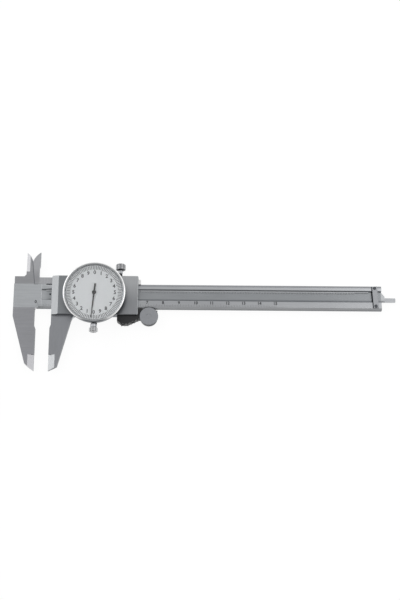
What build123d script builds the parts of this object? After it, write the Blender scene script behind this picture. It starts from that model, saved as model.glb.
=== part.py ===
from build123d import *
import os
from math import asin, atan2, cos, degrees, hypot, pi, radians, sin, sqrt

os.makedirs("parts", exist_ok=True)

# Dial caliper, 150 mm range, lying on its back with the dial up.
# X runs along the beam, in the direction in which the jaws open. Y runs from the
# lower jaws to the upper blades. Z comes out of the dial. The origin is the centre
# of the fixed outside-measuring face, half way through its thickness.
# Sizes are in millimetres. In every plan below, y = 0 is the beam's centre line.

# Beam and fixed head
beam_width = 15.6
beam_thickness = 3.5
beam_end_x = 217.4
bevel_across = 1.1
bevel_down = 0.6
upper_bevel_x = 6.0
lower_bevel_x = 1.5
head_width = 14.3
head_top_y = 13.2
head_corner = 1.2
groove_start_x = 3.2
groove_top_y = 4.4
groove_bottom_y = -2.4
groove_depth = 1.3
groove_chamfer = 0.3
tongue_length = 2.1
tongue_top_y = 3.9
tongue_nose_y = 1.3
tongue_bottom_y = -1.9
rear_groove_start_x = 40.0
rear_groove_depth = 1.4

# Jaws for outside measuring
jaw_reach = 40.6
face_length = 27.2
fixed_relief = 0.9
moving_relief = 0.75
relief_slope = 2.4
jaw_corner_radius = 1.2
jaw_shoulder_y = -13.4
jaw_shoulder_radius = 4.0
jaw_heel_x = -5.8
jaw_heel_rise = 4.7
jaw_toe_x = -3.9
jaw_toe_rise = 2.9
moving_jaw_root = 14.05
moving_jaw_toe = 5.3
moving_jaw_fillet = 4.4
thin_tip_width = 3.9
thin_tip_length = 10.4
thin_tip_depth = 1.0

# Blades for inside measuring, one behind the other
blade_edge_x = -7.1
blade_tip_y = 29.3
blade_width = 4.1
blade_back_y = 22.0
blade_back_bow = 0.8
blade_slant = 2.4
blade_bevel_width = 2.2
blade_bevel_edge = 0.35
blade_bevel_end_y = 16.4
moving_blade_tip_y = 28.6
moving_blade_width = 4.9
moving_blade_back_y = 22.6
moving_blade_slant = 1.7
moving_blade_back_bow = 0.6
blade_relief = 0.5
blade_relief_y = 18.7
blade_relief_slope = 0.8
arm_top_y = 12.0
blade_gap = 0.1

# Slider
opening = 9.03
slider_length = 54.3
slider_height = 25.3
slider_front = 2.5
slider_corner = 0.6
slider_edge = 0.3
back_thickness = 1.1
back_edge = 0.3
scale_bevel_width = 4.2
scale_bevel_drop = 1.3
gib_height = 1.75
gib_setback = 0.5
gib_overhang = 1.6
gib_tab_height = 3.0
slide_gap = 0.05
face_gap = 0.1

# Dial, bezel and crystal
bezel_radius = 19.6
bezel_rim_width = 1.2
bezel_rim_height = 2.0
bezel_skirt_step = 0.65
bezel_skirt_height = 3.0
bezel_lift = 1.85
bezel_wall = 1.0
rim_chamfer = 0.6
crystal_seat_width = 0.4
crystal_thickness = 0.5
slope_width = 0.7
slope_height = 0.8
case_wall = 1.4
case_floor = 0.8
case_height = 4.55
case_screw_inset = 2.4
case_screw_count = 3
dial_thickness = 0.35
dial_lift = 0.4
dial_bore = 0.9
ring_lift = 3.05
ring_height = 0.4
ring_reach = 0.35
ring_opening = 3.0

# Gear movement
rack_pitch = 1.0
rack_pinion_teeth = 10
rack_pitch_y = 3.1
rack_thickness = 1.0
rack_wall_gap = 0.4
rack_start_x = 6.0
rack_end_inset = 8.4
rack_teeth_start_x = 24.0
rack_plain_end = 7.5
rack_root_share = 0.32
rack_tip_share = 0.1
rack_addendum = 0.88
rack_dedendum = 1.25
wheel_teeth = 50
pinion_teeth = 10
wheel_module = 0.25
gear_root_share = 0.55
gear_tip_share = 0.2
gear_addendum = 0.85
gear_dedendum = 1.2
wheel_lift = 0.65
wheel_thickness = 0.5
arbor_radius = 0.6
pivot_radius = 0.4
rack_arbor_radius = 0.8
bridge_lift = 1.0
bridge_thickness = 0.8
bridge_width = 5.0
bridge_reach = 11.0
pillar_radius = 1.9
bearing_gap = 0.04
end_shake = 0.1
take_up_drop = 1.5
spring_turns = 3
spring_pitch = 0.5
spring_strip = 0.15
spring_height = 0.35
spring_lift = 0.25
spring_stud_radius = 0.35

# Pointer
pointer_lift = 0.3
pointer_thickness = 0.25
pointer_length = 16.4
pointer_tail = 5.6
pointer_tip_width = 0.24
pointer_root_width = 1.0
pointer_tail_width = 1.0
pointer_hub_radius = 1.3
revolution = 2.0

# Screws with knurled heads
lock_screw_inset = 11.5
lock_head_radius = 3.05
lock_head_length = 4.0
lock_shank_radius = 1.25
lock_shank_shows = 4.8
clamp_head_radius = 2.6
clamp_head_length = 3.0
clamp_shank_radius = 0.9
clamp_lift = 2.85
clamp_width = 3.8
clamp_post = 2.0
clamp_foot = 1.4
clamp_gap = 0.3
knurl_chamfer = 0.35

# Thumb rest and roller
rest_inset = 13.0
rest_overhang = 0.72
rest_drop = 5.5
rest_front_z = 2.6
rest_corner_width = 2.8
rest_corner_rise = 2.0
rest_flat = 3.8
rest_end_rise = 3.4
rest_teeth = 6
rest_tooth_height = 0.6
rest_tooth_width = 1.5
rest_tooth_margin = 0.6
rest_screw_inset = 3.5
rest_seat = 1.6
rest_wall_width = 2.6
rest_wall_gap = 0.1
roller_reach = 6.88
roller_hub_radius = 5.45
roller_gap = 0.03
roller_rim_radius = 5.85
roller_rim_thickness = 1.3
roller_rim_lift = 0.2
roller_hub_lift = 0.2
roller_chamfer = 0.3
roller_pin_radius = 1.0
pin_head_radius = 1.5
pin_head_height = 0.5
roller_disc_gap = 0.25
roller_arm_radius = 4.8
roller_arm_end = 5.2
roller_arm_drop = 1.9
roller_arm_gap = 0.4

# Depth rod and end stop
rod_width = 2.6
rod_y = -0.7
rod_seat_inset = 13.05
rod_seat_length = 6.0
rod_gap = 0.1
rod_point = 0.35
stop_inset = 4.1
stop_width = 3.5
stop_length = 14.1
stop_thickness = 1.0
stop_shift = 0.35
stop_turn = 3.0
stop_edge = 0.2
stop_screw_margin = 1.2

# Small screws with sunk heads
small_screw_radius = 0.7
small_head_radius = 1.1
screw_slot = 0.3
slot_depth = 0.25
screw_length = 2.2
back_screw_inset = 6.0
gib_screw_inset = 8.0

# Overlap of a cut past the face that it starts from
cut_margin = 0.5

# Worked out from the sizes above
half_beam = beam_width / 2
front_z = beam_thickness / 2
rear_z = -beam_thickness / 2
tip_y = -half_beam - jaw_reach
face_top_y = tip_y + face_length
beam_y = -(tip_y + face_top_y) / 2
slider_x = opening + moving_relief
slider_end_x = slider_x + slider_length
half_slider = slider_height / 2
plate_z = front_z + face_gap
slider_z = plate_z + slider_front
back_z = rear_z - face_gap
rear_face_z = back_z - back_thickness
rail_outer_y = half_beam + slide_gap
rail_inner_y = rail_outer_y + gib_height + slide_gap
groove_floor_z = front_z - groove_depth
groove_middle_y = (groove_top_y + groove_bottom_y) / 2
dial_x = slider_x + slider_length / 2
floor_top_z = slider_z + case_floor
case_top_z = slider_z + case_height
dial_z = case_top_z + dial_lift
dial_top_z = dial_z + dial_thickness
crystal_z = dial_top_z + slope_height
bezel_base_z = slider_z + bezel_lift
skirt_top_z = bezel_base_z + bezel_skirt_height
bezel_top_z = skirt_top_z + bezel_rim_height
skirt_radius = bezel_radius - bezel_skirt_step
bezel_bore = skirt_radius - bezel_wall
case_radius = bezel_bore - bearing_gap
case_inner = case_radius - case_wall
crystal_radius = bezel_radius - bezel_rim_width
window_radius = crystal_radius - crystal_seat_width
ring_z = slider_z + ring_lift
wheel_z = floor_top_z + wheel_lift
wheel_top_z = wheel_z + wheel_thickness
bridge_z = wheel_top_z + bridge_lift
bridge_top_z = bridge_z + bridge_thickness
pointer_z = dial_top_z + pointer_lift
pointer_top_z = pointer_z + pointer_thickness
rack_module = rack_pitch / pi
rack_pinion_radius = rack_module * rack_pinion_teeth / 2
rack_arbor_y = rack_pitch_y - rack_pinion_radius
rack_end_x = beam_end_x - rack_end_inset
centre_distance = wheel_module * (wheel_teeth + pinion_teeth) / 2
rack_arbor_x = dial_x + sqrt(centre_distance**2 - rack_arbor_y**2)
take_up_x = dial_x - sqrt(centre_distance**2 - take_up_drop**2)
take_up_y = -take_up_drop
lock_screw_x = slider_end_x - lock_screw_inset
clamp_z = slider_z + clamp_lift
rest_start_x = slider_end_x - rest_inset
rest_end_x = slider_end_x + rest_overhang
rest_bottom_y = -half_slider - rest_drop
roller_x = slider_end_x + roller_reach
roller_y = -half_beam - roller_gap - roller_hub_radius
roller_rim_z = front_z + roller_rim_lift
roller_front_z = roller_rim_z + roller_rim_thickness
rod_start_x = slider_end_x - rod_seat_inset
rod_end_x = beam_end_x + opening
stop_x = beam_end_x - stop_inset
small_head_height = small_head_radius - small_screw_radius
pointer_turn = -360 * opening / revolution

# Places that several pieces share
upper_rail_y = (rail_inner_y + half_slider) / 2
lower_rail_y = -(rail_outer_y + half_slider) / 2
back_screw_spots = [
    (x, y)
    for x in (slider_x + back_screw_inset, slider_end_x - back_screw_inset)
    for y in (upper_rail_y, lower_rail_y)
]
gib_screw_spots = [(slider_x + gib_screw_inset, 0), (lock_screw_x - gib_screw_inset, 0)]
rest_screw_spots = [(rest_start_x + rest_screw_inset, 0), (rest_end_x - rest_screw_inset, 0)]
rod_pin_spot = (rod_start_x + rod_seat_length / 2, rod_y)
bridge_screw_spots = [(dial_x, bridge_reach), (dial_x, -bridge_reach)]
stop_screw_y = stop_length / 2 - stop_screw_margin
stop_screw_spots = [(0, stop_screw_y), (0, -stop_screw_y)]


def level(z):
    """Plan plane at height z with its origin on the beam's centre line."""
    return Plane(origin=(0, beam_y, z))


def on_arbor(x, y, z):
    """Plan plane at height z with its origin at (x, y)."""
    return Plane(origin=(x, beam_y + y, z))


def underside(z):
    """Plan plane at height z that looks down, so that its y runs the other way."""
    return Plane(origin=(0, beam_y, z), x_dir=(1, 0, 0), z_dir=(0, 0, -1))


def upright(x, y):
    """Plane through (x, y) with its axes along X and Z, for a turned profile."""
    return Plane(origin=(x, beam_y + y, 0), x_dir=(1, 0, 0), z_dir=(0, -1, 0))


def endways(x):
    """Plane across the beam at x, with its axes along Y and Z."""
    return Plane(origin=(x, beam_y, 0), x_dir=(0, 1, 0), z_dir=(1, 0, 0))


def crossways(x, y, z, way=1):
    """Plane across the caliper, for a screw along Y that points the given way."""
    return Plane(origin=(x, beam_y + y, z), x_dir=(1, 0, 0), z_dir=(0, way, 0))


def turning_axis(x, y):
    """Upright axis through (x, y)."""
    return Axis((x, beam_y + y, 0), (0, 0, 1))


def flipped(spots):
    """The same spots in a plane whose y runs the other way."""
    return [(x, -y) for x, y in spots]


def polar_point(radius, angle):
    """Point at a radius and an angle in radians."""
    return (radius * cos(angle), radius * sin(angle))


def gear_outline(teeth, module, first_angle):
    """Outline of a wheel with straight-sided teeth, the first at first_angle."""
    pitch_radius = module * teeth / 2
    root = (pitch_radius - gear_dedendum * module, gear_root_share * pi / teeth)
    tip = (pitch_radius + gear_addendum * module, gear_tip_share * pi / teeth)
    points = []
    for tooth in range(teeth):
        middle = first_angle + 2 * pi * tooth / teeth
        points.append(polar_point(root[0], middle - root[1]))
        points.append(polar_point(tip[0], middle - tip[1]))
        points.append(polar_point(tip[0], middle + tip[1]))
        points.append(polar_point(root[0], middle + root[1]))
    return points


def write(sub_part, label):
    """Label a finished piece and write its STEP file."""
    sub_part.part.label = label
    export_step(sub_part.part, f"parts/{label}.step")


def sunk_screws(face, spots, length):
    """Slotted screws whose sunk heads lie flush with a face, at each spot on it."""
    below = (Align.CENTER, Align.CENTER, Align.MAX)
    with BuildPart(face) as screws:
        with Locations(*spots):
            Cone(small_screw_radius, small_head_radius, small_head_height, align=below)
            Cylinder(small_screw_radius, length, align=below)
            Box(3 * small_head_radius, screw_slot, 2 * slot_depth, mode=Mode.SUBTRACT)
    return screws


def knurled_screw(base, shank_radius, shank_length, head_radius, head_length):
    """Screw that stands on a base plane: a plain shank, then a round head."""
    above = (Align.CENTER, Align.CENTER, Align.MIN)
    with BuildPart(base) as screw:
        Cylinder(shank_radius, shank_length, align=above)
        with Locations((0, 0, shank_length)):
            Cylinder(head_radius, head_length, align=above)
        chamfer(
            screw.edges().filter_by(GeomType.CIRCLE).sort_by(SortBy.RADIUS)[-2:],
            length=knurl_chamfer,
        )
    return screw


# Beam with the fixed head, the fixed jaw and the fixed blade
with BuildPart() as beam:
    with BuildSketch(level(rear_z)):
        with BuildLine():
            Polyline(
                (0, tip_y),
                (0, face_top_y),
                (-fixed_relief, face_top_y + relief_slope),
                (-fixed_relief, -half_beam),
                (beam_end_x, -half_beam),
                (beam_end_x, half_beam),
                (-head_width, half_beam),
                (-head_width, jaw_shoulder_y),
                (jaw_heel_x, tip_y + jaw_heel_rise),
                (jaw_toe_x, tip_y + jaw_toe_rise),
                close=True,
            )
        make_face()
    extrude(amount=beam_thickness)
    # Bevels along both front edges of the beam
    for side, start_x in ((1, upper_bevel_x), (-1, lower_bevel_x)):
        with BuildSketch(endways(start_x)):
            with BuildLine():
                Polyline(
                    (side * (half_beam - bevel_across), front_z),
                    (side * half_beam, front_z - bevel_down),
                    (side * (half_beam + cut_margin), front_z - bevel_down),
                    (side * (half_beam + cut_margin), front_z + cut_margin),
                    (side * (half_beam - bevel_across), front_z + cut_margin),
                    close=True,
                )
            make_face()
        extrude(amount=beam_end_x + cut_margin - start_x, mode=Mode.SUBTRACT)
    # Head and fixed blade, which are the rear half of the thickness
    with BuildSketch(level(rear_z)):
        with BuildLine():
            Polyline(
                (blade_edge_x + blade_width, blade_back_y),
                (blade_edge_x + blade_width + blade_slant, half_beam - 1),
                (-head_width, half_beam - 1),
                (-head_width, head_top_y),
                (blade_edge_x - head_corner, head_top_y),
                (blade_edge_x, head_top_y + head_corner),
                (blade_edge_x, blade_tip_y),
            )
            SagittaArc(
                (blade_edge_x, blade_tip_y),
                (blade_edge_x + blade_width, blade_back_y),
                blade_back_bow,
            )
        make_face()
    extrude(amount=front_z - blade_gap / 2)
    # Front groove for the rack, with its lower edge eased
    with BuildSketch(level(groove_floor_z)):
        with Locations((groove_start_x, groove_middle_y)):
            Rectangle(
                beam_end_x + cut_margin - groove_start_x,
                groove_top_y - groove_bottom_y,
                align=(Align.MIN, Align.CENTER),
            )
    extrude(amount=groove_depth, mode=Mode.SUBTRACT)
    with BuildSketch(endways(groove_start_x)):
        with BuildLine():
            Polyline(
                (groove_bottom_y - groove_chamfer, front_z),
                (groove_bottom_y, front_z - groove_chamfer),
                (groove_bottom_y + groove_chamfer, front_z),
                close=True,
            )
        make_face()
    extrude(amount=beam_end_x + cut_margin - groove_start_x, mode=Mode.SUBTRACT)
    # Rear groove for the depth rod
    with BuildSketch(level(rear_z)):
        with Locations((rear_groove_start_x, rod_y)):
            Rectangle(
                beam_end_x + cut_margin - rear_groove_start_x,
                rod_width + 2 * rod_gap,
                align=(Align.MIN, Align.CENTER),
            )
    extrude(amount=rear_groove_depth, mode=Mode.SUBTRACT)
    # Tongue of the web past the end of the beam, its upper corner cut off
    with BuildSketch(level(rear_z + rear_groove_depth)):
        with BuildLine():
            Polyline(
                (beam_end_x - 1, tongue_top_y),
                (beam_end_x, tongue_top_y),
                (beam_end_x + tongue_length, tongue_nose_y),
                (beam_end_x + tongue_length, tongue_bottom_y),
                (beam_end_x - 1, tongue_bottom_y),
                close=True,
            )
        make_face()
    extrude(amount=beam_thickness - groove_depth - rear_groove_depth)
    # Fillets in the corner of the fixed jaw and at the shoulder of the head
    upright_edges = beam.edges().filter_by(Axis.Z)
    jaw_corner = (-fixed_relief, beam_y - half_beam, 0)
    head_shoulder = (-head_width, beam_y + jaw_shoulder_y, 0)
    fillet(upright_edges.sort_by_distance(jaw_corner)[0], radius=jaw_corner_radius)
    upright_edges = beam.edges().filter_by(Axis.Z)
    fillet(upright_edges.sort_by_distance(head_shoulder)[0], radius=jaw_shoulder_radius)
    # Tip of the fixed jaw, ground thinner on both sides
    for side in (1, -1):
        with BuildSketch(upright(0, tip_y + thin_tip_length)):
            with BuildLine():
                Polyline(
                    (-thin_tip_width, side * front_z),
                    (0, side * (front_z - thin_tip_depth)),
                    (cut_margin, side * (front_z - thin_tip_depth)),
                    (cut_margin, side * (front_z + cut_margin)),
                    (-thin_tip_width, side * (front_z + cut_margin)),
                    close=True,
                )
            make_face()
        extrude(amount=thin_tip_length + cut_margin, mode=Mode.SUBTRACT)
    # Ground bevel along the measuring edge of the fixed blade
    with BuildSketch(upright(0, blade_tip_y + cut_margin)):
        with BuildLine():
            Polyline(
                (blade_edge_x - cut_margin, rear_z + blade_bevel_edge),
                (blade_edge_x, rear_z + blade_bevel_edge),
                (blade_edge_x + blade_bevel_width, -blade_gap / 2),
                (blade_edge_x + blade_bevel_width, 0),
                (blade_edge_x - cut_margin, 0),
                close=True,
            )
        make_face()
    extrude(amount=blade_tip_y + cut_margin - blade_bevel_end_y, mode=Mode.SUBTRACT)
    # Holes for the end stop screws
    with Locations(on_arbor(stop_x, stop_shift, front_z).rotated((0, 0, stop_turn))):
        with Locations(*stop_screw_spots):
            Hole(small_screw_radius, screw_length)
write(beam, "beam")

# Rack along the upper wall of the groove, teeth towards the scale
rack_root_y = rack_pitch_y + rack_dedendum * rack_module
rack_tip_y = rack_pitch_y - rack_addendum * rack_module
rack_back_y = groove_top_y - rack_wall_gap
rack_teeth_count = int((rack_end_x - rack_plain_end - rack_teeth_start_x) / rack_pitch)
with BuildPart() as rack:
    rack_points = [(rack_start_x, rack_back_y), (rack_start_x, rack_root_y)]
    for tooth in range(rack_teeth_count):
        middle = rack_teeth_start_x + rack_pitch * tooth
        rack_points.append((middle - rack_root_share * rack_pitch, rack_root_y))
        rack_points.append((middle - rack_tip_share * rack_pitch, rack_tip_y))
        rack_points.append((middle + rack_tip_share * rack_pitch, rack_tip_y))
        rack_points.append((middle + rack_root_share * rack_pitch, rack_root_y))
    rack_points.append((rack_end_x, rack_root_y))
    rack_points.append((rack_end_x, rack_back_y))
    with BuildSketch(level(groove_floor_z)):
        with BuildLine():
            Polyline(*rack_points, close=True)
        make_face()
    extrude(amount=rack_thickness)
write(rack, "rack")

# End stop plate across the beam, a little askew, with its two screws
stop_plane = on_arbor(stop_x, stop_shift, front_z).rotated((0, 0, stop_turn))
stop_top_plane = stop_plane.offset(stop_thickness)
with BuildPart() as end_stop:
    with BuildSketch(stop_plane):
        Rectangle(stop_width, stop_length)
    extrude(amount=stop_thickness)
    chamfer(end_stop.faces().sort_by(Axis.Z)[-1].edges(), length=stop_edge)
    with Locations(stop_top_plane):
        with Locations(*stop_screw_spots):
            CounterSinkHole(
                small_screw_radius, small_head_radius, stop_thickness, counter_sink_angle=90
            )
write(end_stop, "end_stop")

end_stop_screws = sunk_screws(stop_top_plane, stop_screw_spots, stop_thickness + screw_length)
write(end_stop_screws, "end_stop_screws")

# Slider frame with the moving jaw, the arm and the moving blade
blade_x = blade_edge_x + opening
with BuildPart() as slider_frame:
    with BuildSketch(level(back_z)):
        with Locations((slider_x, 0)):
            RectangleRounded(
                slider_length, slider_height, slider_corner, align=(Align.MIN, Align.CENTER)
            )
    extrude(amount=slider_z - back_z)
    chamfer(
        slider_frame.edges().filter_by(Axis.X).group_by(Axis.Z)[-1], length=slider_edge
    )
    # Channel for the beam and the gib, open at the rear
    with BuildSketch(level(back_z)):
        with Locations((slider_x - 1, -rail_outer_y)):
            Rectangle(
                slider_length + 2, rail_inner_y + rail_outer_y, align=(Align.MIN, Align.MIN)
            )
    extrude(amount=plate_z - back_z, mode=Mode.SUBTRACT)
    # Sloping strip at the left end, where the scale is read
    with BuildSketch(upright(slider_x, half_slider + 1)):
        with BuildLine():
            Polyline(
                (-1, slider_z - scale_bevel_drop * (1 + 1 / scale_bevel_width)),
                (scale_bevel_width, slider_z),
                (-1, slider_z),
                close=True,
            )
        make_face()
    extrude(amount=slider_height + 2, mode=Mode.SUBTRACT)
    # Moving jaw, filleted where it meets the slider
    jaw_corner = (opening + moving_jaw_root, -half_slider)
    with BuildSketch(level(rear_z)) as jaw_plan:
        with BuildLine():
            Polyline(
                (opening, tip_y),
                (opening, face_top_y),
                (slider_x, face_top_y + relief_slope),
                (slider_x, -half_slider + 1),
                (opening + moving_jaw_root + moving_jaw_fillet, -half_slider + 1),
                (opening + moving_jaw_root + moving_jaw_fillet, -half_slider),
                jaw_corner,
                (opening + moving_jaw_toe, tip_y + jaw_toe_rise),
                close=True,
            )
        make_face()
        fillet(jaw_plan.vertices().sort_by_distance(jaw_corner)[0], radius=moving_jaw_fillet)
    extrude(amount=beam_thickness)
    # Arm over the fixed head, and the moving blade on its end
    with BuildSketch(level(blade_gap / 2)):
        with BuildLine():
            Polyline(
                (blade_x, moving_blade_tip_y),
                (blade_x, blade_relief_y + blade_relief_slope),
                (blade_x - blade_relief, blade_relief_y - blade_relief_slope),
                (blade_x - blade_relief, arm_top_y),
                (slider_x + 1, arm_top_y),
                (slider_x + 1, rail_inner_y),
                (slider_x, rail_inner_y),
                (slider_x, rail_outer_y),
                (blade_x - moving_blade_width + moving_blade_slant, rail_outer_y),
                (blade_x - moving_blade_width, moving_blade_back_y),
            )
            SagittaArc(
                (blade_x - moving_blade_width, moving_blade_back_y),
                (blade_x, moving_blade_tip_y),
                moving_blade_back_bow,
            )
        make_face()
    extrude(amount=front_z - blade_gap / 2)
    # Tip of the moving jaw, ground thinner on both sides
    for side in (1, -1):
        with BuildSketch(upright(opening, tip_y + thin_tip_length)):
            with BuildLine():
                Polyline(
                    (thin_tip_width, side * front_z),
                    (0, side * (front_z - thin_tip_depth)),
                    (-cut_margin, side * (front_z - thin_tip_depth)),
                    (-cut_margin, side * (front_z + cut_margin)),
                    (thin_tip_width, side * (front_z + cut_margin)),
                    close=True,
                )
            make_face()
        extrude(amount=thin_tip_length + cut_margin, mode=Mode.SUBTRACT)
    # Bore for the rack arbor, and threads for the screws
    with Locations(on_arbor(rack_arbor_x, rack_arbor_y, slider_z)):
        Hole(rack_arbor_radius + bearing_gap, slider_front)
    with Locations(on_arbor(dial_x, 0, slider_z)):
        with PolarLocations(case_inner - case_screw_inset, case_screw_count, 180):
            Hole(small_screw_radius, screw_length)
    with Locations(underside(back_z)):
        with Locations(*flipped(back_screw_spots)):
            Hole(small_screw_radius, screw_length)
    with Locations(crossways(0, half_slider, 0)):
        with Locations((lock_screw_x, 0)):
            Hole(lock_shank_radius + bearing_gap, half_slider - rail_inner_y)
        with Locations(*gib_screw_spots):
            Hole(small_screw_radius, half_slider - rail_inner_y)
    with Locations(crossways(0, -half_slider, 0, -1)):
        with Locations(*rest_screw_spots):
            Hole(small_screw_radius, screw_length)
write(slider_frame, "slider_frame")

# Back plate that closes the channel
with BuildPart() as back_plate:
    with BuildSketch(level(rear_face_z)):
        with Locations((slider_x, 0)):
            RectangleRounded(
                slider_length, slider_height, slider_corner, align=(Align.MIN, Align.CENTER)
            )
    extrude(amount=back_thickness)
    chamfer(back_plate.faces().sort_by(Axis.Z)[0].edges(), length=back_edge)
    with Locations(underside(rear_face_z)):
        with Locations(*flipped(back_screw_spots)):
            CounterSinkHole(
                small_screw_radius, small_head_radius, back_thickness, counter_sink_angle=90
            )
        with Locations(*flipped([rod_pin_spot])):
            Hole(small_screw_radius, back_thickness)
write(back_plate, "back_plate")

back_plate_screws = sunk_screws(
    underside(rear_face_z), flipped(back_screw_spots), back_thickness + screw_length
)
write(back_plate_screws, "back_plate_screws")

# Gib strip between the beam's upper edge and the slider, with a tab at its free end
with BuildPart() as gib_strip:
    with BuildSketch(level(rear_z)):
        with Locations((slider_x + gib_setback, rail_outer_y)):
            Rectangle(
                slider_length - gib_setback + gib_overhang,
                gib_height,
                align=(Align.MIN, Align.MIN),
            )
        with Locations((slider_end_x + slide_gap, rail_outer_y)):
            Rectangle(gib_overhang - slide_gap, gib_tab_height, align=(Align.MIN, Align.MIN))
    extrude(amount=beam_thickness)
write(gib_strip, "gib_strip")

# Set screws that press on the gib, with slots
gib_screw_length = half_slider - rail_inner_y - slider_edge
with BuildPart(crossways(0, rail_inner_y, 0)) as gib_screws:
    with Locations(*gib_screw_spots):
        Cylinder(
            small_screw_radius, gib_screw_length, align=(Align.CENTER, Align.CENTER, Align.MIN)
        )
    with Locations(*[(x, y, gib_screw_length) for x, y in gib_screw_spots]):
        Box(3 * small_screw_radius, screw_slot, 2 * slot_depth, mode=Mode.SUBTRACT)
write(gib_screws, "gib_screws")

# Depth rod in the beam's rear groove, with a pad that seats on the back plate
with BuildPart() as depth_rod:
    with BuildSketch(level(rear_z + rod_gap)):
        with Locations((rod_start_x, rod_y)):
            Rectangle(rod_end_x - rod_start_x, rod_width, align=(Align.MIN, Align.CENTER))
    extrude(amount=rear_groove_depth - 2 * rod_gap)
    chamfer(depth_rod.faces().sort_by(Axis.X)[-1].edges(), length=rod_point)
    with BuildSketch(level(back_z)):
        with Locations((rod_start_x, rod_y)):
            Rectangle(rod_seat_length, rod_width, align=(Align.MIN, Align.CENTER))
    extrude(amount=face_gap + rod_gap)
    with Locations(level(back_z)):
        with Locations(rod_pin_spot):
            Hole(small_screw_radius, rear_groove_depth)
write(depth_rod, "depth_rod")

# Pin that holds the rod on the back plate
with BuildPart(level(rear_face_z)) as rod_pin:
    with Locations(rod_pin_spot):
        Cylinder(
            small_screw_radius,
            back_thickness + face_gap + rear_groove_depth - 2 * rod_gap,
            align=(Align.CENTER, Align.CENTER, Align.MIN),
        )
write(rod_pin, "rod_pin")

# Black thumb rest below the slider, with the arm that carries the roller
rest_ramp_x = rest_start_x + rest_corner_width + rest_flat
rest_end_y = rest_bottom_y + rest_end_rise
arm_end_x = roller_x + roller_arm_end
wall_top_y = -half_beam - roller_arm_gap
with BuildPart() as thumb_rest:
    with BuildSketch(level(rear_face_z)):
        with BuildLine():
            Polyline(
                (rest_start_x, -half_slider),
                (rest_start_x, rest_bottom_y + rest_corner_rise),
                (rest_start_x + rest_corner_width, rest_bottom_y),
                (rest_ramp_x, rest_bottom_y),
                (rest_end_x, rest_end_y),
                (rest_end_x, -half_slider),
                close=True,
            )
        make_face()
    extrude(amount=rest_front_z - rear_face_z)
    # Teeth for the thumb along the bottom, from the corner to the end of the ramp
    tooth_start_x = rest_start_x + rest_corner_width
    tooth_pitch = (rest_end_x - rest_tooth_width / 2 - tooth_start_x) / (rest_teeth - 1)
    ramp_slope = rest_end_rise / (rest_end_x - rest_ramp_x)
    with BuildSketch(level(rear_face_z + rest_tooth_margin)):
        for tooth in range(rest_teeth):
            tooth_x = tooth_start_x + tooth * tooth_pitch
            tooth_y = rest_bottom_y + max(0, tooth_x - rest_ramp_x) * ramp_slope
            with BuildLine():
                Polyline(
                    (tooth_x - rest_tooth_width / 2, tooth_y + rest_tooth_height),
                    (tooth_x, tooth_y - rest_tooth_height),
                    (tooth_x + rest_tooth_width / 2, tooth_y + rest_tooth_height),
                    close=True,
                )
            make_face()
    extrude(amount=rest_front_z - rear_face_z - 2 * rest_tooth_margin)
    # Arm behind the roller, round about the pin
    with BuildSketch(level(rear_face_z)):
        with BuildLine():
            Polyline(
                (slider_end_x + rest_wall_gap, wall_top_y),
                (slider_end_x + rest_wall_gap, rest_end_y),
                (roller_x, rest_end_y),
                (arm_end_x, wall_top_y - roller_arm_drop),
                (arm_end_x, wall_top_y),
                close=True,
            )
        make_face()
        with Locations((roller_x, roller_y)):
            Circle(roller_arm_radius)
            Circle(roller_pin_radius, mode=Mode.SUBTRACT)
    extrude(amount=back_thickness - slide_gap)
    # Wall between the slider and the roller, hollowed for the roller's disc
    with BuildSketch(level(rear_face_z)):
        with Locations((slider_end_x + rest_wall_gap, wall_top_y)):
            Rectangle(rest_wall_width, wall_top_y - rest_end_y, align=(Align.MIN, Align.MAX))
    extrude(amount=rest_front_z - rear_face_z)
    with BuildSketch(level(back_z - slide_gap)):
        with Locations((roller_x, roller_y)):
            Circle(roller_rim_radius + roller_disc_gap)
    extrude(amount=rest_front_z + cut_margin - back_z, mode=Mode.SUBTRACT)
    # Screw holes with deep seats, from below
    with Locations(crossways(0, -half_slider - rest_seat, 0, -1)):
        with Locations(*rest_screw_spots):
            CounterSinkHole(small_screw_radius, small_head_radius, rest_drop, counter_sink_angle=90)
write(thumb_rest, "thumb_rest")

thumb_rest_screws = sunk_screws(
    crossways(0, -half_slider - rest_seat, 0, -1), rest_screw_spots, rest_seat + screw_length
)
write(thumb_rest_screws, "thumb_rest_screws")

# Pin on which the roller turns, its head level with the roller's front
pin_top_z = roller_front_z - end_shake
with BuildPart(on_arbor(roller_x, roller_y, rear_face_z)) as roller_pin:
    Cylinder(
        roller_pin_radius, pin_top_z - rear_face_z, align=(Align.CENTER, Align.CENTER, Align.MIN)
    )
    with Locations((0, 0, pin_top_z - rear_face_z)):
        Cylinder(
            pin_head_radius, pin_head_height, align=(Align.CENTER, Align.CENTER, Align.MAX)
        )
write(roller_pin, "roller_pin")

# Roller: a hub that runs on the beam's lower edge and a wider rim in front of it
head_bore = pin_head_radius + bearing_gap
head_seat_z = pin_top_z - pin_head_height - slide_gap
with BuildPart() as thumb_roller:
    with BuildSketch(upright(roller_x, roller_y)):
        with BuildLine():
            Polyline(
                (roller_pin_radius + bearing_gap, rear_z + roller_hub_lift),
                (roller_hub_radius, rear_z + roller_hub_lift),
                (roller_hub_radius, roller_rim_z),
                (roller_rim_radius, roller_rim_z),
                (roller_rim_radius, roller_front_z - roller_chamfer),
                (roller_rim_radius - roller_chamfer, roller_front_z),
                (head_bore, roller_front_z),
                (head_bore, head_seat_z),
                (roller_pin_radius + bearing_gap, head_seat_z),
                close=True,
            )
        make_face()
    revolve(axis=turning_axis(roller_x, roller_y))
write(thumb_roller, "thumb_roller")

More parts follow.
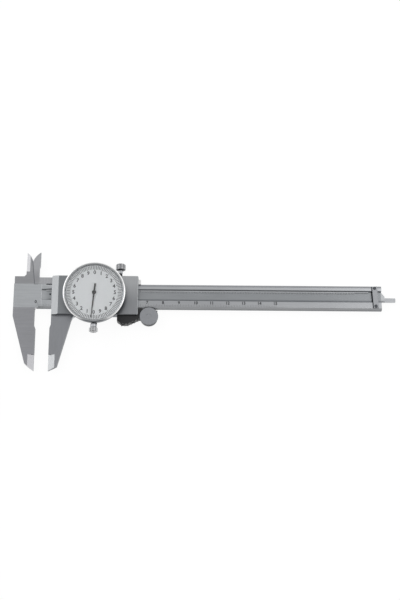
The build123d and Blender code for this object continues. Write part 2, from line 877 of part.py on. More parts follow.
# Lock screw in the upper edge of the slider, its tip just above the gib
lock_tip_y = rail_inner_y - slide_gap
lock_screw = knurled_screw(
    crossways(lock_screw_x, lock_tip_y, 0),
    lock_shank_radius,
    half_slider + lock_shank_shows - lock_tip_y,
    lock_head_radius,
    lock_head_length,
)
write(lock_screw, "lock_screw")

# Dial case: a cup on the slider, with pillars for the bridge and bores for the pivots
ring_groove_radius = case_radius - ring_reach - slide_gap
with BuildPart() as dial_case:
    with BuildSketch(upright(dial_x, 0)):
        with BuildLine():
            Polyline(
                (0, slider_z),
                (case_radius, slider_z),
                (case_radius, ring_z - slide_gap),
                (ring_groove_radius, ring_z - slide_gap),
                (ring_groove_radius, ring_z + ring_height + slide_gap),
                (case_radius, ring_z + ring_height + slide_gap),
                (case_radius, case_top_z),
                (case_inner, case_top_z),
                (case_inner, floor_top_z),
                (0, floor_top_z),
                close=True,
            )
        make_face()
    revolve(axis=turning_axis(dial_x, 0))
    with BuildSketch(level(floor_top_z)):
        with Locations(*bridge_screw_spots):
            Circle(pillar_radius)
    extrude(amount=bridge_z - floor_top_z)
    with Locations(level(bridge_z)):
        with Locations(*bridge_screw_spots):
            Hole(small_screw_radius, screw_length)
    with Locations(on_arbor(dial_x, 0, floor_top_z)):
        with PolarLocations(case_inner - case_screw_inset, case_screw_count, 180):
            CounterSinkHole(
                small_screw_radius, small_head_radius, case_floor, counter_sink_angle=90
            )
    with Locations(on_arbor(rack_arbor_x, rack_arbor_y, floor_top_z)):
        Hole(rack_arbor_radius + bearing_gap, case_floor)
    with Locations(on_arbor(dial_x, 0, floor_top_z), on_arbor(take_up_x, take_up_y, floor_top_z)):
        Hole(pivot_radius + bearing_gap, case_floor)
write(dial_case, "dial_case")

# Screws that hold the case on the slider
case_screw_step = 2 * pi / case_screw_count
case_screws = sunk_screws(
    on_arbor(dial_x, 0, floor_top_z),
    [
        polar_point(case_inner - case_screw_inset, pi + case_screw_step * number)
        for number in range(case_screw_count)
    ],
    case_floor + screw_length,
)
write(case_screws, "case_screws")

# Bridge over the wheels, with the upper bearings and a stud for the hairspring
spring_z = wheel_top_z + spring_lift
spring_start = arbor_radius + spring_lift
spring_end = spring_start + spring_turns * spring_pitch
bridge_span = hypot(rack_arbor_x - take_up_x, rack_arbor_y - take_up_y)
bridge_turn = degrees(asin((rack_arbor_y - take_up_y) / bridge_span))
with BuildPart() as movement_bridge:
    with BuildSketch(level(bridge_z)):
        with Locations((dial_x, 0)):
            SlotCenterToCenter(2 * bridge_reach, bridge_width, rotation=90)
        with Locations(((take_up_x + rack_arbor_x) / 2, (take_up_y + rack_arbor_y) / 2)):
            SlotCenterToCenter(bridge_span, bridge_width, rotation=bridge_turn)
        with Locations((dial_x, 0), (take_up_x, take_up_y), (rack_arbor_x, rack_arbor_y)):
            Circle(pivot_radius + bearing_gap, mode=Mode.SUBTRACT)
    extrude(amount=bridge_thickness)
    with Locations(level(bridge_top_z)):
        with Locations(*bridge_screw_spots):
            CounterSinkHole(
                small_screw_radius, small_head_radius, bridge_thickness, counter_sink_angle=90
            )
    with BuildSketch(level(spring_z)):
        with Locations((take_up_x + spring_end + spring_stud_radius, take_up_y)):
            Circle(spring_stud_radius)
    extrude(amount=bridge_z - spring_z)
write(movement_bridge, "movement_bridge")

bridge_screws = sunk_screws(level(bridge_top_z), bridge_screw_spots, bridge_thickness + screw_length)
write(bridge_screws, "bridge_screws")

# Rack pinion on its arbor, through the slider into the movement
pinion_floor_z = groove_floor_z + end_shake
pinion_top_z = groove_floor_z + rack_thickness
rack_phase = (rack_arbor_x - rack_teeth_start_x) / rack_pitch
rack_pinion_angle = pi / 2 + 2 * pi * (rack_phase - 0.5) / rack_pinion_teeth
with BuildPart() as rack_arbor:
    with BuildSketch(on_arbor(rack_arbor_x, rack_arbor_y, pinion_floor_z)):
        with BuildLine():
            Polyline(
                *gear_outline(rack_pinion_teeth, rack_module, rack_pinion_angle), close=True
            )
        make_face()
    extrude(amount=pinion_top_z - pinion_floor_z)
    with BuildSketch(on_arbor(rack_arbor_x, rack_arbor_y, pinion_top_z)):
        Circle(rack_arbor_radius)
    extrude(amount=wheel_top_z - pinion_top_z)
    with BuildSketch(on_arbor(rack_arbor_x, rack_arbor_y, wheel_top_z)):
        Circle(arbor_radius)
    extrude(amount=bridge_z - end_shake - wheel_top_z)
    with BuildSketch(on_arbor(rack_arbor_x, rack_arbor_y, bridge_z - end_shake)):
        Circle(pivot_radius)
    extrude(amount=bridge_thickness + end_shake)
write(rack_arbor, "rack_arbor")


def large_wheel(x, y, first_angle, bore_radius):
    """Wheel of the train that drives the centre pinion."""
    with BuildPart() as wheel:
        with BuildSketch(on_arbor(x, y, wheel_z)):
            with BuildLine():
                Polyline(*gear_outline(wheel_teeth, wheel_module, first_angle), close=True)
            make_face()
            Circle(bore_radius, mode=Mode.SUBTRACT)
        extrude(amount=wheel_thickness)
    return wheel


# Drive wheel on the rack arbor. It meets the centre pinion tooth against gap.
drive_angle = atan2(-rack_arbor_y, dial_x - rack_arbor_x)
centre_pinion_angle = drive_angle + pi + pi / pinion_teeth
take_up_angle = atan2(take_up_y, take_up_x - dial_x)
wheel_ratio = wheel_teeth / pinion_teeth
take_up_phase = (take_up_angle - centre_pinion_angle) / wheel_ratio + pi / wheel_teeth
drive_wheel = large_wheel(rack_arbor_x, rack_arbor_y, drive_angle, rack_arbor_radius)
write(drive_wheel, "drive_wheel")

# Take-up wheel, which the hairspring holds against the centre pinion
take_up_wheel = large_wheel(
    take_up_x, take_up_y, take_up_angle + pi + take_up_phase, arbor_radius
)
write(take_up_wheel, "take_up_wheel")

# Arbor of the take-up wheel between the case and the bridge
with BuildPart() as take_up_arbor:
    with BuildSketch(on_arbor(take_up_x, take_up_y, slider_z + end_shake)):
        Circle(pivot_radius)
    extrude(amount=bridge_top_z - slider_z - end_shake)
    with BuildSketch(on_arbor(take_up_x, take_up_y, floor_top_z + end_shake)):
        Circle(arbor_radius)
    extrude(amount=bridge_z - floor_top_z - 2 * end_shake)
write(take_up_arbor, "take_up_arbor")

# Hairspring: half circles that grow by half a pitch, out to the stud
with BuildPart() as hairspring:
    with BuildSketch(on_arbor(take_up_x, take_up_y, spring_z)):
        with BuildLine():
            reach = spring_start
            side = 1
            for _ in range(2 * spring_turns):
                next_reach = reach + spring_pitch / 2
                RadiusArc(
                    (side * reach, 0), (-side * next_reach, 0), -(reach + next_reach) / 2
                )
                reach = next_reach
                side = -side
        trace(line_width=spring_strip)
    extrude(amount=spring_height)
write(hairspring, "hairspring")

# Centre arbor with its pinion, up through the dial to the pointer
with BuildPart() as centre_arbor:
    with BuildSketch(on_arbor(dial_x, 0, slider_z + end_shake)):
        Circle(pivot_radius)
    extrude(amount=pointer_top_z - slider_z - end_shake)
    with BuildSketch(on_arbor(dial_x, 0, floor_top_z + end_shake)):
        Circle(arbor_radius)
    extrude(amount=bridge_z - floor_top_z - 2 * end_shake)
    with BuildSketch(on_arbor(dial_x, 0, wheel_z - end_shake)):
        with BuildLine():
            Polyline(
                *gear_outline(pinion_teeth, wheel_module, centre_pinion_angle), close=True
            )
        make_face()
    extrude(amount=wheel_thickness + 2 * end_shake)
write(centre_arbor, "centre_arbor")

# Pointer, one turn for each 2 mm, so half a turn and a little at this opening
pointer_plane = on_arbor(dial_x, 0, pointer_z).rotated((0, 0, 90 + pointer_turn))
with BuildPart() as pointer:
    with BuildSketch(pointer_plane):
        with BuildLine():
            Polyline(
                (pointer_length, pointer_tip_width / 2),
                (0, pointer_root_width / 2),
                (-pointer_tail, pointer_tail_width / 2),
                (-pointer_tail, -pointer_tail_width / 2),
                (0, -pointer_root_width / 2),
                (pointer_length, -pointer_tip_width / 2),
                close=True,
            )
        make_face()
        Circle(pointer_hub_radius)
        Circle(pivot_radius, mode=Mode.SUBTRACT)
    extrude(amount=pointer_thickness)
write(pointer, "pointer")

# Bezel ring that turns on the case and carries the dial face and the crystal. Its
# bore takes the dial from below, up to the lip that slopes from the crystal's seat.
ring_slot_radius = bezel_bore + ring_reach + slide_gap
with BuildPart() as bezel_ring:
    with BuildSketch(upright(dial_x, 0)):
        with BuildLine():
            Polyline(
                (bezel_bore, bezel_base_z),
                (skirt_radius, bezel_base_z),
                (skirt_radius, skirt_top_z),
                (bezel_radius, skirt_top_z),
                (bezel_radius, bezel_top_z - rim_chamfer),
                (bezel_radius - rim_chamfer, bezel_top_z),
                (crystal_radius, bezel_top_z),
                (crystal_radius, crystal_z),
                (window_radius, crystal_z),
                (window_radius - slope_width, dial_top_z),
                (bezel_bore, dial_top_z),
                (bezel_bore, ring_z + ring_height + slide_gap),
                (ring_slot_radius, ring_z + ring_height + slide_gap),
                (ring_slot_radius, ring_z - slide_gap),
                (bezel_bore, ring_z - slide_gap),
                close=True,
            )
        make_face()
    revolve(axis=turning_axis(dial_x, 0))
write(bezel_ring, "bezel_ring")

# Open snap ring, half in the case and half in the bezel
with BuildPart() as snap_ring:
    with BuildSketch(on_arbor(dial_x, 0, ring_z)):
        Circle(bezel_bore + ring_reach)
        Circle(case_radius - ring_reach, mode=Mode.SUBTRACT)
        with Locations((0, case_radius)):
            Rectangle(ring_opening, 4 * ring_reach, mode=Mode.SUBTRACT)
    extrude(amount=ring_height)
write(snap_ring, "snap_ring")

# Dial face, pressed into the bezel's bore
with BuildPart() as dial_face:
    with BuildSketch(on_arbor(dial_x, 0, dial_z)):
        Circle(bezel_bore)
        Circle(dial_bore, mode=Mode.SUBTRACT)
    extrude(amount=dial_thickness)
write(dial_face, "dial_face")

# Crystal on its seat in the rim
with BuildPart() as crystal:
    with BuildSketch(on_arbor(dial_x, 0, crystal_z)):
        Circle(crystal_radius)
    extrude(amount=crystal_thickness)
write(crystal, "crystal")

# Bracket below the case: a foot under the case, and a post for the clamp screw
post_inner_y = -bezel_radius - clamp_gap
with BuildPart() as clamp_bracket:
    with BuildSketch(on_arbor(dial_x, 0, slider_z - clamp_foot)):
        with Locations((0, -half_slider)):
            Rectangle(
                clamp_width,
                clamp_post - post_inner_y - half_slider,
                align=(Align.CENTER, Align.MAX),
            )
    extrude(amount=clamp_foot)
    with BuildSketch(on_arbor(dial_x, 0, slider_z)):
        with Locations((0, post_inner_y)):
            Rectangle(clamp_width, clamp_post, align=(Align.CENTER, Align.MAX))
    extrude(amount=clamp_z - slider_z)
    with BuildSketch(crossways(dial_x, post_inner_y, clamp_z, -1)):
        Circle(clamp_width / 2)
    extrude(amount=clamp_post)
    with Locations(crossways(dial_x, post_inner_y, clamp_z, -1)):
        Hole(clamp_shank_radius + bearing_gap, clamp_post)
write(clamp_bracket, "clamp_bracket")

# Clamp screw of the bezel, its tip just off the bezel's rim
clamp_tip_y = -skirt_radius - face_gap
clamp_screw = knurled_screw(
    crossways(dial_x, clamp_tip_y, clamp_z, -1),
    clamp_shank_radius,
    clamp_tip_y - post_inner_y + clamp_post + face_gap,
    clamp_head_radius,
    clamp_head_length,
)
write(clamp_screw, "clamp_screw")
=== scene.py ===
import math

import bmesh
import bpy
from mathutils import Matrix, Vector


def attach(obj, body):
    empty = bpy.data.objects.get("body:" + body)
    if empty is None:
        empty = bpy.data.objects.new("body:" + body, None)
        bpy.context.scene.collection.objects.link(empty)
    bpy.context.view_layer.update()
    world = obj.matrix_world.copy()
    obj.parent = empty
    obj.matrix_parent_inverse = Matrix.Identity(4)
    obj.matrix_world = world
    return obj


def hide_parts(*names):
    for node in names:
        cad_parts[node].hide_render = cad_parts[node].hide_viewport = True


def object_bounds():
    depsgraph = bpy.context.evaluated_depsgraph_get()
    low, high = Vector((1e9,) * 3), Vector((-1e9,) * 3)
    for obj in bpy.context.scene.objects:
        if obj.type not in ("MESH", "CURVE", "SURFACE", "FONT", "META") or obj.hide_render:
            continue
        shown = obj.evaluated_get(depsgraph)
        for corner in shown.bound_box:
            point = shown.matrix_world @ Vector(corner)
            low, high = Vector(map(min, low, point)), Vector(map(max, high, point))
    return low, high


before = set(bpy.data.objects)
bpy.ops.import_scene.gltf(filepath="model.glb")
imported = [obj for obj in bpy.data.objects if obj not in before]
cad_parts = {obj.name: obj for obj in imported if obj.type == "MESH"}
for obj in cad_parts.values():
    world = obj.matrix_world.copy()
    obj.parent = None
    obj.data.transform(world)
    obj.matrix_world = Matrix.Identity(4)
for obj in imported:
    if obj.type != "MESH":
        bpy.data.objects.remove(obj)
cad_low, cad_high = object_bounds()

# Lengths are in millimetres up to the point where a mesh, the camera or a pattern takes them.
# Only the lamps and the floor's width are given in metres.
MM = 0.001

# The caliper's own sizes, as the solids have them. BEAM_Y is where the beam's centre line lies,
# and every other Y is from that line.
BEAM_Y = 34.8
HALF_BEAM = 7.8
BEAM_FACE_Z = 1.75
BEVEL_ACROSS = 1.1
GROOVE_START_X = 3.2
GROOVE_TOP_Y = 4.4
GROOVE_BOTTOM_Y = -2.4
GROOVE_FLOOR_Z = 0.45
BEAM_END_X = 217.4
STOP_X = 213.3
STOP_Y = 0.35
STOP_WIDTH = 3.5
STOP_TURN = 3.0
BLADE_BACK_X = -1.27
BLADE_BACK_TURN = 6.6
BLADE_ROOT_Y = 16
BLADE_LINE_END_Y = 24
ARM_Y = 7
SLIDER_X = 9.78
SLIDER_LENGTH = 54.3
HALF_SLIDER = 12.65
SLIDER_END_X = SLIDER_X + SLIDER_LENGTH
DIAL_X = SLIDER_X + SLIDER_LENGTH / 2
DIAL_TOP_Z = 9.65
POINTER_TOP_Z = 10.2
BEZEL_RADIUS = 19.6
BEZEL_TOP_Z = 11.2
RIM_ROUND = 0.85
COIN_EDGE_Z = 9.93
COIN_EDGE_LENGTH = 1.0
THREAD_START = 0.25
THREAD_PITCH = 0.45
THREAD_DEPTH = 0.2
KNURL_DEPTH = 0.2
HEAD_EDGE = 0.35
LOCK_SCREW_X = SLIDER_END_X - 11.5
LOCK_TIP_Y = 9.6
LOCK_NECK_LENGTH = 2.2
LOCK_SHANK_RADIUS = 1.25
LOCK_HEAD_Y = HALF_SLIDER + 4.8
LOCK_HEAD_RADIUS = 3.05
LOCK_HEAD_LENGTH = 4.0
CLAMP_TIP_Y = -19.05
CLAMP_NECK_LENGTH = 0.5
CLAMP_SHANK_RADIUS = 0.9
CLAMP_HEAD_Y = -22.0
CLAMP_HEAD_RADIUS = 2.6
CLAMP_HEAD_LENGTH = 3.0
CLAMP_Z = 7.2
ROLLER_X = SLIDER_END_X + 6.88
ROLLER_Y = -13.28
ROLLER_RIM_RADIUS = 5.85
ROLLER_RIM_Z = 1.95
ROLLER_RIM_THICKNESS = 1.3
GROOVE_PIN_X = 8.5
GROOVE_PIN_Y = 1.3

# Scale on the beam, in millimetres, and the dial, whose 100 marks stand for 0.02 mm each
SCALE_ZERO_X = 0.75
SCALE_LENGTH = 150
SCALE_FIGURE_Y = -4.1
DIAL_MARKS = 100
DIAL_MARK_RADIUS = 17.1
DIAL_FIGURES = 20
DIAL_FIGURE_RADIUS = 12.95
PRINT_THICKNESS = 0.02

# Share of a font's size that its figures are high
FIGURE_SHARE = 0.72

# Sizes of the slow unevenness of the metals and of the crystal
CLOUD_SIZE = 24
HAZE_SIZE = 9

# A limit well outside the caliper, for a zone that is open on that side
FAR = 300

# Tones that more than one piece has
# Painted shadow along the end stop's left edge, on the stop and on the beam beside it
STOP_EDGE_SHADOW = "#4a4c50"
# Painted shade on the bezel's outer wall and coin edge
CHROME_IN_SHADE = "#74777b"

# Paper floor: half its width in metres, its gap under the caliper in mm, and the share and
# strength of its glow
FLOOR_REACH = 3
FLOOR_GAP = 0.02
GLOW_SHARE = 0.88
GLOW_STRENGTH = 1.05


def at(x, y, z):
    """Point in metres, y from the beam's centre line."""
    return Vector((x * MM, (BEAM_Y + y) * MM, z * MM))


def linear(colour):
    """Linear colour of an sRGB hex value."""
    parts = [int(colour[i:i + 2], 16) / 255 for i in (1, 3, 5)]
    return [c / 12.92 if c <= 0.04045 else ((c + 0.055) / 1.055) ** 2.4 for c in parts] + [1.0]


def add(tree, kind, settings=None, inputs=None):
    """Add a node, set its properties, and set or link its inputs."""
    node = tree.nodes.new(kind)
    for name, value in (settings or {}).items():
        setattr(node, name, value)
    for name, value in (inputs or {}).items():
        if isinstance(value, bpy.types.NodeSocket):
            tree.links.new(value, node.inputs[name])
        else:
            node.inputs[name].default_value = value
    return node


def new_material(name):
    """Empty material with its tree and the surface socket of its output."""
    material = bpy.data.materials.new(name)
    material.use_nodes = True
    tree = material.node_tree
    tree.nodes.clear()
    return material, tree, add(tree, "ShaderNodeOutputMaterial").inputs["Surface"]


def steel(name, colour, roughness, lay, lines=0.08):
    """Steel or brass finished along its lay, the size in mm of one tool mark along X, Y and Z.
    colour is a hex value, or a function that gives the colour by place. lines is how much the
    marks differ in tone."""
    material, tree, surface = new_material(name)
    place = add(tree, "ShaderNodeTexCoord").outputs["Object"]
    base = colour(tree, place) if callable(colour) else linear(colour)
    stretched = add(tree, "ShaderNodeMapping", inputs={
        "Vector": place, "Scale": [1 / (size * MM) for size in lay]})
    grain = add(tree, "ShaderNodeTexNoise", inputs={
        "Vector": stretched.outputs["Vector"], "Scale": 1.0, "Detail": 3.0, "Roughness": 0.65})
    cloud = add(tree, "ShaderNodeTexNoise", inputs={
        "Vector": place, "Scale": 1 / (CLOUD_SIZE * MM), "Detail": 1.0})
    line_tone = add(tree, "ShaderNodeMapRange", inputs={
        "Value": grain.outputs["Fac"], "From Min": 0.3, "From Max": 0.7,
        "To Min": 1 - lines, "To Max": 1 + lines})
    cloud_tone = add(tree, "ShaderNodeMapRange", inputs={
        "Value": cloud.outputs["Fac"], "From Min": 0.3, "From Max": 0.7,
        "To Min": 0.97, "To Max": 1.03})
    tone = add(tree, "ShaderNodeMath", {"operation": "MULTIPLY"}, {
        0: line_tone.outputs["Result"], 1: cloud_tone.outputs["Result"]})
    shade = add(tree, "ShaderNodeMix", {"data_type": "RGBA", "blend_type": "MULTIPLY"}, {
        0: 1.0, 6: base, 7: tone.outputs["Value"]})
    rough = add(tree, "ShaderNodeMapRange", inputs={
        "Value": grain.outputs["Fac"], "From Min": 0.3, "From Max": 0.7,
        "To Min": roughness - 0.05, "To Max": roughness + 0.05})
    relief = add(tree, "ShaderNodeBump", inputs={
        "Height": grain.outputs["Fac"], "Strength": 0.3, "Distance": 0.01 * MM})
    metal = add(tree, "ShaderNodeBsdfPrincipled", inputs={
        "Base Color": shade.outputs[2], "Metallic": 1.0,
        "Roughness": rough.outputs["Result"], "Normal": relief.outputs["Normal"]})
    tree.links.new(metal.outputs["BSDF"], surface)
    return material


def between(tree, value, low, high, soft=0.05):
    """Mask that is 1 where value, in metres, lies between low and high, in mm, and 0 elsewhere.
    It changes over soft mm to each side of both limits."""
    rise = add(tree, "ShaderNodeMapRange", inputs={
        "Value": value, "From Min": (low - soft) * MM, "From Max": (low + soft) * MM})
    fall = add(tree, "ShaderNodeMapRange", inputs={
        "Value": value, "From Min": (high - soft) * MM, "From Max": (high + soft) * MM,
        "To Min": 1.0, "To Max": 0.0})
    return add(tree, "ShaderNodeMath", {"operation": "MULTIPLY"}, {
        0: rise.outputs["Result"], 1: fall.outputs["Result"]}).outputs["Value"]


def overlap(tree, first, *others):
    """Mask that is 1 where all of these masks are."""
    shared = first
    for mask in others:
        shared = add(tree, "ShaderNodeMath", {"operation": "MULTIPLY"}, {
            0: shared, 1: mask}).outputs["Value"]
    return shared


def painted(tree, ground, *layers):
    """Colour socket of a ground colour with its layers, (mask, colour), painted over it in turn."""
    shown = linear(ground)
    for mask, colour in layers:
        shown = add(tree, "ShaderNodeMix", {"data_type": "RGBA"}, {
            0: mask, 6: shown, 7: linear(colour)}).outputs[2]
    return shown


def measured(tree, place):
    """Sockets of X, of Y from the beam's centre line, and of Z, in metres."""
    centred = add(tree, "ShaderNodeVectorMath", {"operation": "SUBTRACT"}, {
        0: place, 1: at(0, 0, 0)})
    parts = add(tree, "ShaderNodeSeparateXYZ", inputs={"Vector": centred.outputs["Vector"]})
    return parts.outputs["X"], parts.outputs["Y"], parts.outputs["Z"]


def facing(tree, axis, low, high):
    """Mask that is 1 where the normal's share along an axis, from -1 to 1, is in this span.
    A limit past -1 or 1 leaves that end open."""
    normal = add(tree, "ShaderNodeTexCoord").outputs["Normal"]
    share = add(tree, "ShaderNodeSeparateXYZ", inputs={"Vector": normal}).outputs[axis]
    above = add(tree, "ShaderNodeMath", {"operation": "GREATER_THAN"}, {0: share, 1: low})
    below = add(tree, "ShaderNodeMath", {"operation": "LESS_THAN"}, {0: share, 1: high})
    return overlap(tree, above.outputs["Value"], below.outputs["Value"])


def beside_line(tree, place, x, y, turn, low, high):
    """Mask that is 1 in a band from low to high mm to the right of a line through (x, y),
    which is turned anticlockwise by some degrees from +Y."""
    turned = add(tree, "ShaderNodeVectorRotate", {"rotation_type": "Z_AXIS"}, {
        "Vector": place, "Center": at(x, y, 0), "Angle": math.radians(-turn)})
    across = add(tree, "ShaderNodeSeparateXYZ", inputs={"Vector": turned.outputs["Vector"]})
    return between(tree, across.outputs["X"], x + low, x + high)


def stop_edge(tree, place, low, high):
    """Mask that is 1 in a band along the left edge of the end stop, which stands a little askew."""
    return beside_line(tree, place, STOP_X - STOP_WIDTH / 2, STOP_Y, STOP_TURN, low, high)


def facing_sideways(tree):
    """Mask that is 1 on ground facets, which lean along X, and 0 on flats and on end faces."""
    normal = add(tree, "ShaderNodeTexCoord").outputs["Normal"]
    lean = add(tree, "ShaderNodeSeparateXYZ", inputs={"Vector": normal}).outputs["X"]
    amount = add(tree, "ShaderNodeMath", {"operation": "ABSOLUTE"}, {0: lean}).outputs["Value"]
    leans = add(tree, "ShaderNodeMath", {"operation": "GREATER_THAN"}, {0: amount, 1: 0.1})
    not_end = add(tree, "ShaderNodeMath", {"operation": "LESS_THAN"}, {0: amount, 1: 0.8})
    return overlap(tree, leans.outputs["Value"], not_end.outputs["Value"])


def from_centre(tree, place, aside_x, aside_y):
    """Distance from an upright line through the dial's centre, or that much aside of it."""
    centre = add(tree, "ShaderNodeVectorMath", {"operation": "SUBTRACT"}, {
        0: place, 1: at(DIAL_X + aside_x, aside_y, 0)})
    flat = add(tree, "ShaderNodeVectorMath", {"operation": "MULTIPLY"}, {
        0: centre.outputs["Vector"], 1: (1, 1, 0)})
    return add(tree, "ShaderNodeVectorMath", {"operation": "LENGTH"}, {
        0: flat.outputs["Vector"]}).outputs["Value"]


def beam_zones(tree, place):
    """The beam's tones: ground lands, bevels with painted shade on the upper and a painted
    highlight on the lower, painted shade on the near sides, and a groove that darkens to the
    right, with painted shade along its walls and a painted shadow beside the end stop. The
    head, the jaw and the blade are satin, the blade with a painted shadow along the moving
    blade's back edge, and their ground facets are bright."""
    x, y, z = measured(tree, place)
    front = between(tree, z, 0.3, FAR)
    near_head = between(tree, x, -FAR, SLIDER_X, 4)
    jaw = between(tree, y, -FAR, -HALF_BEAM + 0.1)
    head = between(tree, y, HALF_BEAM, FAR)
    blade = between(tree, y, BLADE_ROOT_Y, FAR, 2)
    # Painted shadow on the fixed blade, along the moving blade's back edge
    blade_back_shadow = overlap(
        tree, between(tree, y, HALF_BEAM, BLADE_LINE_END_Y, 1),
        beside_line(tree, place, BLADE_BACK_X, HALF_BEAM, BLADE_BACK_TURN, -0.6, 2))
    lower_land = overlap(
        tree, between(tree, x, 55, FAR, 20), between(tree, y, -HALF_BEAM, GROOVE_BOTTOM_Y))
    upper_bevel = between(tree, y, HALF_BEAM - BEVEL_ACROSS - 0.3, HALF_BEAM + 0.1, 0.15)
    lower_bevel = between(tree, y, -HALF_BEAM - 0.1, -HALF_BEAM + BEVEL_ACROSS, 0.1)
    groove = overlap(
        tree, front, between(tree, x, GROOVE_START_X + 2.5, FAR, 2),
        between(tree, y, GROOVE_BOTTOM_Y, GROOVE_TOP_Y))
    far_groove = overlap(tree, groove, between(tree, x, 130, FAR, 60))
    # Painted light on the groove's left end wall, against its shade
    groove_end = overlap(
        tree, front, between(tree, x, GROOVE_START_X - 0.1, GROOVE_START_X + 0.1))
    tongue = between(tree, x, BEAM_END_X - 0.2, FAR)
    along = overlap(tree, front, between(tree, x, GROOVE_START_X + 4, BEAM_END_X, 1.5))
    # Painted shade along the groove's lower and upper walls, and a wider one by the lower wall towards
    # the right end
    lower_wall_shade = overlap(
        tree, along, between(tree, y, GROOVE_BOTTOM_Y - 0.25, GROOVE_BOTTOM_Y + 0.8, 0.15))
    upper_wall_shade = overlap(
        tree, along, between(tree, y, GROOVE_TOP_Y - 0.1, GROOVE_TOP_Y + 0.4, 0.1))
    wide_wall_shade = overlap(
        tree, front, between(tree, x, 150, BEAM_END_X, 60),
        between(tree, y, GROOVE_BOTTOM_Y - 0.7, GROOVE_BOTTOM_Y + 1.2, 0.15))
    # Painted shadow on the beam beside the end stop's left edge
    beside_stop = overlap(
        tree, front, between(tree, y, STOP_Y - 7, STOP_Y + 7), stop_edge(tree, place, -0.2, 1))
    facets = facing_sideways(tree)
    return painted(
        tree, "#bdbfc2",
        (near_head, "#b7babd"),
        (jaw, "#a0a1a5"),
        (head, "#9fa0a3"),
        (blade, "#a9aaad"),
        (blade_back_shadow, "#76787c"),
        (lower_land, "#b0b2b5"),
        # Painted light on the upper bevel under the arm, against the arm's shade
        (overlap(tree, upper_bevel, between(tree, x, 5.5, FAR, 1)), "#c4c6c9"),
        # Painted shade on the upper bevel further right
        (overlap(tree, upper_bevel, between(tree, x, 12, FAR, 1)), "#9b9da1"),
        # Painted highlight on the lower bevel
        (overlap(tree, lower_bevel, between(tree, x, 4, FAR, 2)), "#cfd1d4"),
        (groove, "#a0a3a6"),
        (far_groove, "#94979a"),
        (groove_end, "#e2e3e5"),
        (tongue, "#b5b7b9"),
        (lower_wall_shade, "#7b7e82"),
        (wide_wall_shade, "#7b7e82"),
        (upper_wall_shade, "#7b7e82"),
        (beside_stop, STOP_EDGE_SHADOW),
        # Painted shade on faces that look along -Y, and on the jaw's face that looks along +X
        (facing(tree, "Y", -1.1, -0.85), "#606367"),
        (overlap(tree, jaw, facing(tree, "X", 0.85, 1.1)), "#55585c"),
        (facets, "#bcbcbf"),
        (overlap(tree, facets, head), "#cfcfd2"),
    )


def rack_zones(tree, place):
    """The rack's tones: oiled grey, with a painted highlight on the tooth side against its shade."""
    return painted(tree, "#b4b6b9", (facing(tree, "Y", -1.1, -0.3), "#fbfbfb"))


def slider_zones(tree, place):
    """The slider's tones: a satin block, painted darker on its left and lighter at its top right as
    shade and sheen, with painted shade on its sides and a painted shadow below and right of the
    bezel, a lighter arm and blade, a satin jaw, and brightly ground facets, among them the
    sloping strip at which the scale is read."""
    x, y, z = measured(tree, place)
    # Painted shade on the block's left part by the reading strip, and a painted sheen at its top right
    left = between(tree, x, SLIDER_X, SLIDER_X + 11, 2)
    corner = overlap(tree, between(tree, x, DIAL_X + 12, FAR, 6), between(tree, y, 2, FAR, 6))
    # Painted shadow of the bezel on the block, below and to the right of it
    rim = overlap(
        tree, between(tree, x, DIAL_X, FAR, 3), between(tree, y, -FAR, -4, 3),
        between(tree, from_centre(tree, place, 0.7, -0.4), 0, 19.3, 0.8))
    jaw = between(tree, y, -FAR, -HALF_SLIDER)
    arm = overlap(tree, between(tree, x, -FAR, SLIDER_X), between(tree, y, ARM_Y, FAR))
    arm_root = overlap(
        tree, between(tree, x, -FAR, 1.5, 1), between(tree, y, ARM_Y, ARM_Y + 8, 3))
    strip = overlap(
        tree, between(tree, x, SLIDER_X - 1, SLIDER_X + 4.15), between(tree, z, 2.9, FAR),
        between(tree, y, -HALF_SLIDER - 0.1, HALF_SLIDER + 0.1))
    low_part = between(tree, y, -FAR, HALF_SLIDER + 0.1)
    return painted(
        tree, "#999b9e",
        (left, "#8b8e91"),
        (corner, "#b6b8ba"),
        (rim, "#737578"),
        (jaw, "#999b9f"),
        (arm, "#b2b3b6"),
        (arm_root, "#9c9da0"),
        (facing_sideways(tree), "#c1c3c5"),
        (strip, "#a5a7a9"),
        # Painted shade on the lower faces that look along +X and along -Y
        (overlap(tree, low_part, facing(tree, "X", 0.85, 1.1)), "#74777b"),
        (overlap(tree, low_part, facing(tree, "Y", -1.1, -0.85)), "#74777b"),
    )


def stop_zones(tree, place):
    """The end stop's tones: even grey, with a painted shadow along its left edge."""
    return painted(tree, "#a3a5a8", (stop_edge(tree, place, -1, 0.3), STOP_EDGE_SHADOW))


def roller_zones(tree, place):
    """The roller's tones: an even grey face, and sides painted dark as shade."""
    return painted(tree, "#9d9fa3", (facing(tree, "Z", -0.5, 0.5), "#2e3034"))


def lock_zones(tree, place):
    """The lock screw's tones: bright ribs, and an underside painted dark as shade."""
    return painted(tree, "#9a9b9d", (facing(tree, "Y", -1.1, -0.6), "#3c3e42"))


def bezel_zones(tree, place):
    """The bezel's tones: a bright rounded rim, painted darker on the near side as shade, with painted
    shade on the wall outside and on the grey lip inside."""
    _, y, z = measured(tree, place)
    radius = from_centre(tree, place, 0, 0)
    near_side_shade = between(tree, y, -FAR, -17.5, 1)
    wall = overlap(
        tree, between(tree, z, 0, BEZEL_TOP_Z - 0.6), between(tree, radius, BEZEL_RADIUS - 0.9, FAR))
    lip = between(tree, radius, 0, BEZEL_RADIUS - 0.85)
    return painted(
        tree, "#ffffff", (near_side_shade, "#8c8f92"), (wall, CHROME_IN_SHADE), (lip, "#b6b8ba"))


# Grinding, turning and draw marks on real metal are 0.01 to 0.05 mm wide. On the steels and the
# brass below they're drawn 0.3 to 0.9 mm wide, so that they show.

